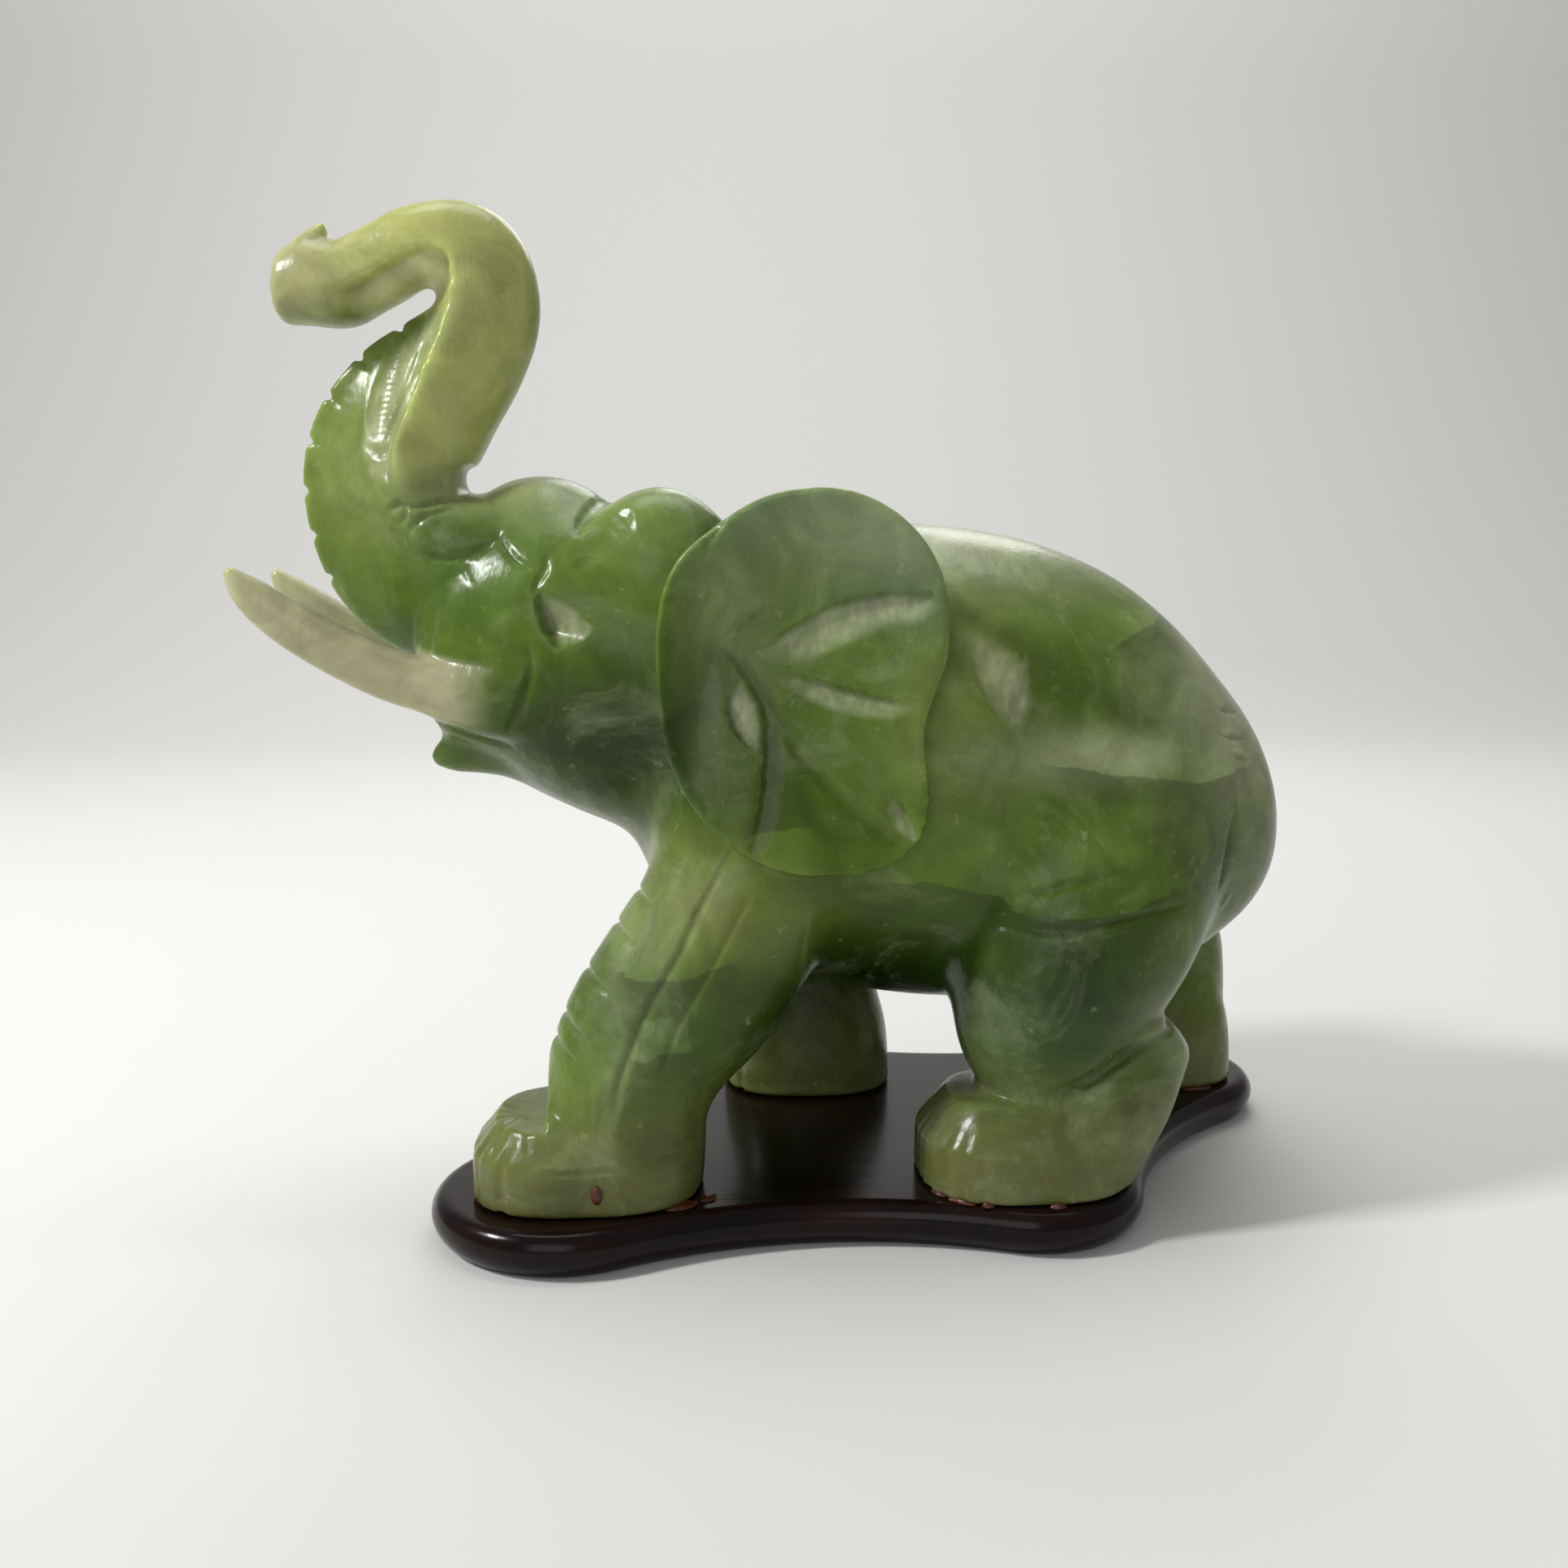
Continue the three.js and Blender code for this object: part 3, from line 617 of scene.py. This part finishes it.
gouge([(-7.2, 123.3, 0.3), (-3.4, 114.4, 1), (0.4, 107.8, 1.6), (6.5, 101.6, 2), (12.6, 95.5, 2.2),
       (18.7, 91.1, 2), (23.5, 87.4, 1.0)], 1.4)
scoop([(20.4, 99.4), (23.6, 95), (25.4, 91.4), (25.6, 87.4)],
      [(20.4, 99.4), (18.6, 96), (20.5, 92), (25.6, 87.4)], 1.8, 3)
LOBE_EDGE = [(-16.2, 130.6), (-13.7, 127.5), (-11.1, 124.1), (-9.6, 121.5), (-7.7, 118.1),
             (-6.9, 113.9), (-7.2, 108.9), (-7.5, 103), (-8.5, 96.4), (-10.3, 90.5), (-12.2, 86.5)]
ledge(LOBE_EDGE, 0.8, 1.9, 5, 3)
scoop([(-12.2, 124.5), (-15, 119), (-13.8, 113.4), (-8.6, 107.5)],
      [(-12.2, 124.5), (-9, 119), (-7.8, 114), (-8.6, 107.5)], 1.8, 5, highlight_strength=0.6)
gouge([(-20.6, 99.4, 0.4), (-19.6, 97, 1.4), (-18.4, 94.4, 0.4)], 0.8)

# Body and legs: a shallow scoop behind the ear, the flank lines, the scored near foreleg with
# its notched front, the creases by the near feet, and the cuts beside the tail.
scoop([(35.4, 137), (36.6, 130), (39.4, 122), (43.2, 115), (48.5, 109.5)],
      [(35.4, 137), (43, 133), (50.4, 127), (51.6, 118), (48.5, 109.5)], 1.2, 9, highlight_strength=0.55)
gouge([(50, 131.5, 0.4), (49, 125, 1.4), (47.2, 119, 1.4), (45.4, 113.6, 0.4)], 0.9)
gouge([(33.3, 107, 0.5), (34.5, 105, 1.5), (36.6, 103, 0.5)], 0.5)
gouge([(46.2, 75.9, 0.3), (54.1, 78.1, 1), (62.5, 80.3, 1.1), (73.5, 82.8, 0.3)], 0.8)
gouge([(43.5, 70, 0.4), (50.3, 69.9, 1.1), (58.6, 69.8, 1.3), (73, 72.6, 1.1), (86, 74.5, 0.4)], 1.0)
gouge([(-13, 90, 0.4), (-21.1, 75.3, 1), (-26, 65, 1.1), (-30.4, 57.8, 1.1), (-34.8, 49.3, 1.1),
       (-38.3, 40, 1), (-40.4, 30, 0.4)], 1.0, NEAR)
gouge([(-10.3, 78, 0.4), (-19.3, 62.6, 1), (-26.7, 50.4, 1.1), (-30.1, 38.8, 0.4)], 1.0, NEAR)
for x, z in [(-34.6, 76), (-38.6, 68.5), (-44.6, 58.4), (-50, 48.9), (-51.8, 43.6)]:
    gouge([(x - 1.5, z + 0.6, 1.3), (x + 3.5, z - 1.6, 0.6)], 1.2, NEAR, push=(0.9, -0.2, -0.3), turned=-0.6)
gouge([(-57.1, 20.6, 0.3), (-50, 20.2, 0.9), (-43.5, 20.4, 0.9), (-36.9, 20.8, 0.3)], 0.6, NEAR)
gouge([(86, 46.5, 1.0), (80, 45, 1.5), (74.4, 43.2, 1.5), (63.6, 36.1, 1.6), (54.5, 32.8, 0.5)], 1.4, NEAR)
for x, z, long in [(100.2, 115.7, 3), (100.4, 109.9, 4), (102, 105.4, 2.4)]:
    gouge([(x - long, z + 0.6, 0.4), (x, z, 1.3), (x + long, z - 1, 0.6)], 1.4, NEAR)
gouge([(99.9, 93, 0.4), (99.1, 87.5, 1), (97.9, 80.7, 1), (96.2, 75.5, 0.4)], 1.2, NEAR)


TOE_GROOVE_TOP = 17
TOE_GROOVE_HALF_WIDTH = 1.3


def toe_grooves(x, y, reach, turns, depth):
    """Upright grooves round the toes, at these angles from the head's direction."""
    around = np.arctan2(skin_co[:, 1] - y, -(skin_co[:, 0] - x) / reach)
    out = np.hypot((skin_co[:, 0] - x) / reach, skin_co[:, 1] - y)
    height = skin_co[:, 2] - SOLE
    wall = (out > FOOT_RADIUS * 0.7) & (out < FOOT_RADIUS * 1.25) & (height < TOE_GROOVE_TOP)
    for turn in turns:
        d = np.abs(around - math.radians(turn)) * out
        share = np.clip(d / TOE_GROOVE_HALF_WIDTH, 0, 1)
        amount = depth * (1 - share ** 2) * np.clip((TOE_GROOVE_TOP - height) / 6, 0, 1) * wall
        skin_co[:] -= skin_normal * amount[:, None]


# The near forefoot is cut flat on top, up to a crisp crease where the leg's front rises from
# it, then bevelled at the toe end and on the near side, and scored with a few short strokes.
TOE_TOP_Z = 27.4
LEG_FRONT_X = -54.5
BEVELS = [((-0.72, 0.0, 0.69), 1.4), ((-0.2, -0.72, 0.66), 1.2)]  # the way each faces, and its depth
STROKE_START = np.array((-60.0, -38.0))
STROKE_ENDS = [(-70, -29), (-71.5, -36), (-71, -43), (-66, -50), (-58, -53)]
STROKE_DEPTH, STROKE_HALF_WIDTH = 0.6, 1.1
above = skin_co[:, 2] - TOE_TOP_Z
ahead = LEG_FRONT_X - skin_co[:, 0]
near_leg = (skin_co[:, 1] < -8) & (skin_co[:, 2] < 46)
waste = np.clip(np.minimum(above, ahead), 0, None) * near_leg
skin_co += waste[:, None] * np.array((1.0, 0.0, -1.0))
for faces, taken in BEVELS:
    out = np.hypot(skin_co[:, 0] - FEET[0][0], skin_co[:, 1] - FEET[0][1])
    toes = (out < FOOT_RADIUS * 1.5) & (skin_co[:, 2] > 12)
    beyond = skin_co @ np.array(faces)
    beyond -= beyond[toes & (skin_co[:, 0] < -60)].max() - taken
    beyond = np.clip(beyond, 0, None) * toes * np.clip((-55 - skin_co[:, 0]) / 4, 0, 1)
    skin_co -= beyond[:, None] * np.array(faces)
for end in STROKE_ENDS:
    stroke = np.array(end) - STROKE_START
    way = np.clip((skin_co[:, :2] - STROKE_START) @ stroke / (stroke @ stroke), 0.25, 1)
    off = np.linalg.norm(skin_co[:, :2] - STROKE_START - way[:, None] * stroke, axis=1)
    on_top = (skin_co[:, 2] > 18) & (skin_co[:, 2] < 29) & (skin_co[:, 0] < -55)
    skin_co[:, 2] -= STROKE_DEPTH * np.clip(1 - off / STROKE_HALF_WIDTH, 0, 1) * on_top
toe_grooves(*FEET[0], (-50, -30, -12, 8, 28), 0.5)
toe_grooves(*FEET[1], (-62, -50, -38, -26, -14, -2, 10), 0.3)
for far_foot in FEET[2:]:
    toe_grooves(*far_foot, (-40, -20, 0, 20, 40), 0.7)
measure_normals()
soften(jade_mesh, 2, 0.4)

# The finished skin, thinned out to fewer triangles where it is flat.
SKIN_TRIANGLES = 190000
jade_mesh.transform(TO_ROW)
elephant = bpy.data.objects.new("jade_elephant", jade_mesh)
bpy.context.collection.objects.link(elephant)
thinned = elephant.modifiers.new("thin_out", "DECIMATE")
thinned.ratio = min(1, SKIN_TRIANGLES / (2 * len(jade_mesh.polygons)))
evaluated = elephant.evaluated_get(bpy.context.evaluated_depsgraph_get())
elephant_mesh = bpy.data.meshes.new_from_object(evaluated)
elephant.modifiers.clear()
elephant.data = elephant_mesh
elephant_mesh.name = "jade_elephant"
bpy.data.meshes.remove(jade_mesh)
elephant_mesh.shade_smooth()

# Where the stone changes through the block: the share of each tone, including painted shade under
# the body and painted light along the back, the painted highlight on the scooped faces, and the
# distance in millimetres from the nearest healed crack, which is positive on its lighter side.
count = len(elephant_mesh.vertices)
stone = np.empty(count * 3)
elephant_mesh.vertices.foreach_get("co", stone)
carver = np.array(TO_ROW.inverted())
stone = stone.reshape(-1, 3) @ carver[:3, :3].T + carver[:3, 3]
sx, sy, sz = stone.T
CRACKS = [
    [(-44, 60.8), (-35.6, 60.1), (-28.3, 59.7), (-22.1, 61.2), (-18.7, 62.4), (-11.2, 65.4)],
    [(-36.8, 43.8), (-33.3, 42.8), (-29.5, 44.5), (-24.7, 44.9), (-20.3, 47.2)],
    [(-5, 80), (10.7, 78.4), (28.4, 79.1), (36.6, 77.5), (40.1, 76.8), (45.5, 75.9), (47.2, 73.2),
     (50.7, 73.1), (58.1, 72.3), (65.8, 72.9), (73.1, 74.1), (78.5, 76.2), (85.8, 78.3), (99, 84)],
    [(68.9, 129), (73.2, 131.2), (76, 132.7), (84, 135.4), (92, 139)],
    [(50.9, 107.1), (58.7, 104.9), (67.6, 102.6), (79.2, 101.7), (89.5, 100.2), (99.7, 101.7),
     (108, 104)],
    [(4.5, 93.4), (-1.6, 92.7), (-7.7, 91.8), (-12.5, 89.7)],
]
CRACK_REACH = 15  # the two tones die away within this distance, and at the ends
crack = np.full(count, 1e3)
for line in CRACKS:
    d, _, hand, place = nearest_on([(x, z, 0) for x, z in line], stone[:, (0, 2)])
    d += CRACK_REACH * (1 - np.clip(np.minimum(place, 1 - place) * 6, 0, 1))
    crack = np.where(d < np.abs(crack), d * hand, crack)


def patch(x, z, wide, high, much=1.0):
    """A soft patch of tone round a place seen from the side."""
    return much * np.exp(-((sx - x) / wide) ** 2 - ((sz - z) / high) ** 2)


def rise(value, low, high):
    """Share from 0 at low to 1 at high."""
    return np.clip((value - low) / (high - low), 0, 1)


side_view = stone[:, (0, 2)]
from_ridge, _, tube_side, _ = nearest_on([(x, z, 0) for x, z in RIDGE], side_view)
behind_ridge = rise(from_ridge * -tube_side, 2, -1) * rise(sz, 158, 172)
tube = np.maximum(behind_ridge, rise(sz, 203, 208)) * rise(sx, -52, -60)
from_tusk = nearest_on([(x, z, 0) for x, z, _, _ in TUSK], side_view)[0]
tusks = rise(from_tusk, 8, 6) * rise(sx, -66, -76) * rise(np.abs(sy), 11.5, 13.5)
ear_leaf = rise(np.abs(sy), 36, 40)
foreleg_top = patch(-20, 76, 18, 12, 0.3)
zones = {
    # the darkest tone: the thick of the stone, darkened further by painted shade under the belly, the jaw,
    # the rump and the hind leg
    "thick_stone_and_painted_shade": [patch(20, 52, 44, 20), patch(62, 54, 26, 26, 0.9), patch(-42, 108, 34, 22, 0.9),
             patch(100, 80, 20, 16, 0.6)],
    # the bluish tint on the near foreleg's front is a painted reflection
    "cool": [patch(-8, 166, 30, 14) * ear_leaf, patch(24, 150, 16, 20) * ear_leaf,
             patch(-34, 50, 12, 26, 0.3), patch(52, 44, 20, 26, 0.4), patch(-70, 150, 16, 16, 0.4)],
    # the milky tone: cloudy stone at the rump and in small patches, with painted light along the top of the
    # back and the crown
    "milky_stone_and_painted_top_light": [patch(50, 160, 60, 16, 0.9), patch(104, 122, 22, 30, 0.9), patch(68, 107, 30, 6, 0.7),
             patch(-55, 166, 30, 8, 0.4), patch(84, 47, 10, 8, 0.5), patch(-36, 56, 10, 14, 0.2),
             patch(-14, 136, 10, 26, 0.3) * ear_leaf],
    "olive": [0.85 * rise(sz, 44, 20), foreleg_top, 0.4 * rise(sy, 20, 30) * rise(sz, 70, 40)],
    "pale": [tusks, 0.6 * rise(sx, -96, -112) * rise(sz, 200, 206)],
    # the warm patch behind the ear, over the shoulder's scoop, is a painted glint
    "warm": [tube, foreleg_top, 0.25 * rise(sx, -78, -92) * rise(sz, 140, 165),
             0.3 * patch(34, 122, 12, 20)],
}
# The painted highlight on each scooped face, strongest where the face is widest and fading out at its edges.
scoop_highlight = np.zeros(count)
for crisp, fading, full, highlight_strength in facets:
    chosen = np.nonzero(within(side_view, crisp + fading[::-1]))[0]
    plane = side_view[chosen]
    near, far = (nearest_on([(x, z, 0) for x, z in line], plane)[0] for line in (crisp, fading))
    from_edge = rise(np.minimum(near, far), 0, full / 4)
    share = highlight_strength * np.clip((near + far) / full, 0, 1) * from_edge
    scoop_highlight[chosen] = np.maximum(scoop_highlight[chosen], share)
scoop_highlight *= np.where((sx > -30) & (sx < 40), ear_leaf, 1)
fade = rise(np.abs(crack), CRACK_REACH, 0)
noted = {"crack": crack, "crack_fade": fade * fade * (3 - 2 * fade), "scoop_highlight": scoop_highlight}
noted.update({name: np.maximum.reduce(patches) for name, patches in zones.items()})
for name, share in noted.items():
    kept = elephant_mesh.attributes.new(name, "FLOAT", "POINT")
    kept.data.foreach_set("value", share.astype(np.float32))

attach(elephant, "root")
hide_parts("elephant")

# Polished serpentine jade: deep green in the thick of the body, with painted shade under the
# belly, jaw, rump and hind leg, yellow-green along the trunk's back, olive in the feet, bluish at
# the ear's top, pale in the tusks, and paler along the back, which is partly painted top light.
# Painted highlights lie on the scooped faces. Healed cracks part two tones, and ripples and wheel
# marks are left under the polish.
jade = bpy.data.materials.new("polished_jade")
jade.use_nodes = True
tree = jade.node_tree
surface = tree.nodes["Principled BSDF"]
place = add(tree, "ShaderNodeTexCoord").outputs["Object"]
# Slow drifts of tone, about 40 mm across.
drift = add(tree, "ShaderNodeTexNoise",
            {"Vector": place, "Scale": 26.0, "Detail": 6.0, "Roughness": 0.55, "Distortion": 0.6})
body_tone = add(tree, "ShaderNodeValToRGB", {"Fac": drift.outputs["Fac"]})
body_tone.color_ramp.elements[0].position = 0.32
body_tone.color_ramp.elements[0].color = colour("#4c6418")
body_tone.color_ramp.elements[1].position = 0.7
body_tone.color_ramp.elements[1].color = colour("#68822e")
tone = body_tone.outputs["Color"]
# Each tone in turn, where the skin's own attribute of that name puts it: the darkest holds painted shade,
# and the milky one painted light along the top of the back.
for name, hue in [("thick_stone_and_painted_shade", "#132500"), ("warm", "#b0b46e"), ("cool", "#3f6030"), ("milky_stone_and_painted_top_light", "#a5aa88"),
                  ("olive", "#68683c"), ("pale", "#a9a683")]:
    share = add(tree, "ShaderNodeAttribute", attribute_name=name).outputs["Fac"]
    tone = add(tree, "ShaderNodeMix", {0: share, 6: tone, 7: colour(hue)}, data_type="RGBA").outputs[2]
# Cloudy white wisps about 30 mm across, mottling of about 17 mm, and flecks 3 mm apart.
wisps = add(tree, "ShaderNodeTexNoise",
            {"Vector": place, "Scale": 34.0, "Detail": 9.0, "Roughness": 0.68, "Distortion": 1.2})
cloudy = add(tree, "ShaderNodeMapRange",
             {"Value": wisps.outputs["Fac"], "From Min": 0.5, "From Max": 0.75, "To Max": 0.4})
tone = add(tree, "ShaderNodeMix", {0: cloudy.outputs[0], 6: tone, 7: colour("#a3ab86")},
           data_type="RGBA").outputs[2]
mottle = add(tree, "ShaderNodeTexNoise",
             {"Vector": place, "Scale": 60.0, "Detail": 7.0, "Roughness": 0.6, "Distortion": 1.4})
mottled = add(tree, "ShaderNodeMapRange",
              {"Value": mottle.outputs["Fac"], "From Min": 0.34, "From Max": 0.66,
               "To Min": 0.8, "To Max": 1.2})
flecks = add(tree, "ShaderNodeTexNoise", {"Vector": place, "Scale": 330.0, "Detail": 2.0})
fleck = add(tree, "ShaderNodeMapRange",
            {"Value": flecks.outputs["Fac"], "From Min": 0.68, "From Max": 0.76, "To Max": 0.25})
tone = add(tree, "ShaderNodeMix", {0: fleck.outputs[0], 6: tone, 7: colour("#a9ad8a")},
           data_type="RGBA").outputs[2]
# A painted highlight on the scooped faces, in streaks about 2.4 mm apart, coarser than a wheel leaves them.
scoop_highlight_share = add(tree, "ShaderNodeAttribute", attribute_name="scoop_highlight").outputs["Fac"]
glint_path = add(tree, "ShaderNodeMapping",
                 {"Vector": place, "Rotation": (0.0, 0.9, 0.0), "Scale": (1.0, 1.0, 0.3)})
glint_streaks = add(tree, "ShaderNodeTexNoise", {"Vector": glint_path.outputs[0], "Scale": 420.0, "Detail": 3.0})
glint_streak = add(tree, "ShaderNodeMapRange",
             {"Value": glint_streaks.outputs["Fac"], "From Min": 0.4, "From Max": 0.66,
              "To Min": 0.6, "To Max": 1.2})
streaked_highlight = add(tree, "ShaderNodeMath", {0: scoop_highlight_share, 1: glint_streak.outputs[0]}, operation="MULTIPLY")
tone = add(tree, "ShaderNodeMix", {0: streaked_highlight.outputs[0], 6: tone, 7: colour("#c2c3a0")},
           data_type="RGBA").outputs[2]
# The cracks wander by half a millimetre or so.
crack_gap = add(tree, "ShaderNodeAttribute", attribute_name="crack").outputs["Fac"]
ragged = add(tree, "ShaderNodeTexNoise", {"Vector": place, "Scale": 150.0, "Detail": 3.0})
wander = add(tree, "ShaderNodeMath", {0: ragged.outputs["Fac"], 1: 2.4, 2: crack_gap},
             operation="MULTIPLY_ADD")
lighter = add(tree, "ShaderNodeMapRange",
              {"Value": wander.outputs[0], "From Min": 1.0, "From Max": 1.4,
               "To Min": -0.24, "To Max": 0.24})
dying = add(tree, "ShaderNodeAttribute", attribute_name="crack_fade").outputs["Fac"]
parted = add(tree, "ShaderNodeMath", {0: lighter.outputs[0], 1: dying, 2: 1.0}, operation="MULTIPLY_ADD")
depth = add(tree, "ShaderNodeMath", {0: parted.outputs[0], 1: mottled.outputs[0]}, operation="MULTIPLY")
shaded = add(tree, "ShaderNodeVectorMath", {0: tone, 1: depth.outputs[0]}, operation="MULTIPLY")
tree.links.new(shaded.outputs[0], surface.inputs["Base Color"])
rough = add(tree, "ShaderNodeMapRange", {"Value": wisps.outputs["Fac"], "To Min": 0.14, "To Max": 0.38})
tree.links.new(rough.outputs[0], surface.inputs["Roughness"])
# Ripples about 8 mm apart, and wheel marks 1.1 mm apart, drawn coarser than real so they show.
marks_place = add(tree, "ShaderNodeMapping",
                  {"Vector": place, "Rotation": (0.3, 0.5, 0.2), "Scale": (900, 900, 120)})
marks = add(tree, "ShaderNodeTexNoise",
            {"Vector": marks_place.outputs["Vector"], "Scale": 1.0, "Detail": 2.0})
ripple = add(tree, "ShaderNodeTexNoise", {"Vector": place, "Scale": 120.0, "Detail": 2.0})
relief = add(tree, "ShaderNodeMath", {0: ripple.outputs["Fac"], 1: 5.0, 2: marks.outputs["Fac"]},
             operation="MULTIPLY_ADD")
polish = add(tree, "ShaderNodeBump", {"Height": relief.outputs[0], "Strength": 0.45, "Distance": 0.00015})
tree.links.new(polish.outputs["Normal"], surface.inputs["Normal"])
surface.inputs["IOR"].default_value = 1.56
surface.inputs["Specular IOR Level"].default_value = 0.22
surface.inputs["Subsurface Weight"].default_value = 0.55
surface.inputs["Subsurface Radius"].default_value = (0.7, 1.0, 0.35)
surface.inputs["Subsurface Scale"].default_value = 0.007
elephant_mesh.materials.append(jade)

# GLUE. Beads of dark orange-brown glue pressed out from under the feet and left to set on
# the stand, and a dab in a chip low on the near forefoot.
GLUE_BEADS = [  # x, y, length, width, height, turn
    (-25.5, -51, 4.2, 1.9, 1.0, 28), (-19.8, -47.2, 2.6, 1.5, 0.8, 35),
    (31.5, -48, 2.6, 1.3, 1.1, -50), (35.5, -52.6, 3.2, 1.2, 1.0, -35),
    (40.6, -55.6, 1.5, 1.0, 1.2, -20), (55.8, -57.4, 1.8, 1.0, 1.3, 0),
    (-69.5, -45, 1.6, 1.0, 1.0, -60), (112, 16.2, 4.5, 1.6, 0.8, 8),
]
CHIP = (-43.4, -57.4, 15.6)
CHIP_SIZE = (1.2, 0.7, 2.0)
STAND_TOP = 10
BEAD_FOOT = 10.02  # the beads end just clear of the stand's top
bm = bmesh.new()
for x, y, length, width, height, turn in GLUE_BEADS:
    lay = Matrix.Translation((x, y, STAND_TOP)) @ Matrix.Rotation(math.radians(turn), 4, "Z")
    size = Matrix.Diagonal((length, width, height, 1))
    bead = bmesh.ops.create_icosphere(bm, subdivisions=3, radius=1, matrix=lay @ size)
    for v in bead["verts"]:
        v.co.x += 0.25 * math.sin(2.1 * v.co.x + y)
        v.co.y += 0.25 * math.sin(1.7 * v.co.y + x)
        v.co.z = max(v.co.z, BEAD_FOOT)
dab = Matrix.Translation(CHIP) @ Matrix.Diagonal((*CHIP_SIZE, 1))
bmesh.ops.create_icosphere(bm, subdivisions=3, radius=1, matrix=dab)
bmesh.ops.transform(bm, matrix=TO_ROW, verts=bm.verts)
glue_mesh = bpy.data.meshes.new("glue_beads")
bm.to_mesh(glue_mesh)
bm.free()
glue_mesh.shade_smooth()
glue = bpy.data.objects.new("glue_beads", glue_mesh)
bpy.context.collection.objects.link(glue)
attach(glue, "root")

# Old animal glue, dried in blobs: orange-brown, blotched darker with dust every 2 mm or so,
# with a half-dull crust.
old_glue = bpy.data.materials.new("dried_hide_glue")
old_glue.use_nodes = True
tree = old_glue.node_tree
surface = tree.nodes["Principled BSDF"]
place = add(tree, "ShaderNodeTexCoord").outputs["Object"]
dust = add(tree, "ShaderNodeTexNoise", {"Vector": place, "Scale": 500.0, "Detail": 4.0})
tone = add(tree, "ShaderNodeMix",
           {0: dust.outputs["Fac"], 6: colour("#1c0c05"), 7: colour("#6b3013")}, data_type="RGBA")
tree.links.new(tone.outputs[2], surface.inputs["Base Color"])
crust = add(tree, "ShaderNodeBump", {"Height": dust.outputs["Fac"], "Strength": 0.5, "Distance": 0.0004})
tree.links.new(crust.outputs["Normal"], surface.inputs["Normal"])
surface.inputs["Roughness"].default_value = 0.35
glue_mesh.materials.append(old_glue)

# FLOOR AND LIGHT. A plain pale floor that sweeps up behind, a small soft key from the upper
# left, a broad weaker fill in front, a weak light from behind and one on the wall, with the
# camera where the figurine was seen from. Sizes in this section are in metres.
bm = bmesh.new()
FLOOR_REACH, SWEEP_START, SWEEP_RADIUS, WALL_TOP = 4, 1.0, 0.9, 3.2
corners = [bm.verts.new((x, -FLOOR_REACH, 0)) for x in (-FLOOR_REACH, FLOOR_REACH)]
front = bm.edges.new(corners)
level = bmesh.ops.extrude_edge_only(bm, edges=[front])["geom"]
level_verts = [v for v in level if isinstance(v, bmesh.types.BMVert)]
bmesh.ops.translate(bm, vec=(0, FLOOR_REACH + SWEEP_START, 0), verts=level_verts)
level_end = [g for g in level if not isinstance(g, bmesh.types.BMFace)]
bend = bmesh.ops.spin(bm, geom=level_end, axis=(1, 0, 0), cent=(0, SWEEP_START, SWEEP_RADIUS),
                      angle=math.pi / 2, steps=24)["geom_last"]
bend_end = [g for g in bend if isinstance(g, bmesh.types.BMEdge)]
wall = bmesh.ops.extrude_edge_only(bm, edges=bend_end)["geom"]
wall_verts = [v for v in wall if isinstance(v, bmesh.types.BMVert)]
bmesh.ops.translate(bm, vec=(0, 0, WALL_TOP - SWEEP_RADIUS), verts=wall_verts)
for face in bm.faces:
    face.smooth = True
floor_mesh = bpy.data.meshes.new("floor")
bm.to_mesh(floor_mesh)
bm.free()
floor = bpy.data.objects.new("floor", floor_mesh)
bpy.context.collection.objects.link(floor)
paint = bpy.data.materials.new("floor_paint")
paint.use_nodes = True
surface = paint.node_tree.nodes["Principled BSDF"]
surface.inputs["Base Color"].default_value = colour("#dcdbd8")
surface.inputs["Roughness"].default_value = 0.8
floor_mesh.materials.append(paint)

world = bpy.data.worlds.new("studio")
bpy.context.scene.world = world
world.use_nodes = True
sky = world.node_tree.nodes["Background"]
sky.inputs["Color"].default_value = colour("#f1f2f4")
sky.inputs["Strength"].default_value = 0.3
MIDDLE = Vector((0, 0, 0.11))
LAMPS = [  # name, place, what it points at, size, watts
    ("key", (-0.85, -0.2, 0.85), MIDDLE, 0.15, 9), ("fill", (-0.3, -1.1, 0.6), MIDDLE, 0.7, 2.2),
    ("back", (0.2, 0.8, 0.8), MIDDLE, 0.5, 2.2),
    ("wall", (0, 0.7, 2.2), Vector((0, 1.9, 0.7)), 1.6, 28),
]
for name, spot, aim, size, power in LAMPS:
    lamp = bpy.data.lights.new(name, "AREA")
    lamp.size = size
    lamp.energy = power
    holder = bpy.data.objects.new(name, lamp)
    holder.location = spot
    holder.rotation_euler = (aim - Vector(spot)).to_track_quat("-Z", "Y").to_euler()
    bpy.context.collection.objects.link(holder)
bpy.context.scene.view_settings.view_transform = "Standard"

PHOTO_WIDTH, FOCAL_LENGTH = 1932, 1810  # both in pixels
CAMERA_PLACE = (-23.51, -355.68, 143.0)  # in the carver's frame, in millimetres
CAMERA_DIP, CAMERA_TURN = 7.584, -3.8  # degrees
lens = bpy.data.cameras.new("camera")
lens.sensor_width = 36
lens.lens = lens.sensor_width * FOCAL_LENGTH / PHOTO_WIDTH
lens.clip_start = 0.01
camera = bpy.data.objects.new("camera", lens)
camera.location = TO_ROW @ Vector(CAMERA_PLACE)
camera.rotation_euler = (math.radians(90 - CAMERA_DIP), 0, math.radians(CAMERA_TURN))
bpy.context.collection.objects.link(camera)
bpy.context.scene.camera = camera
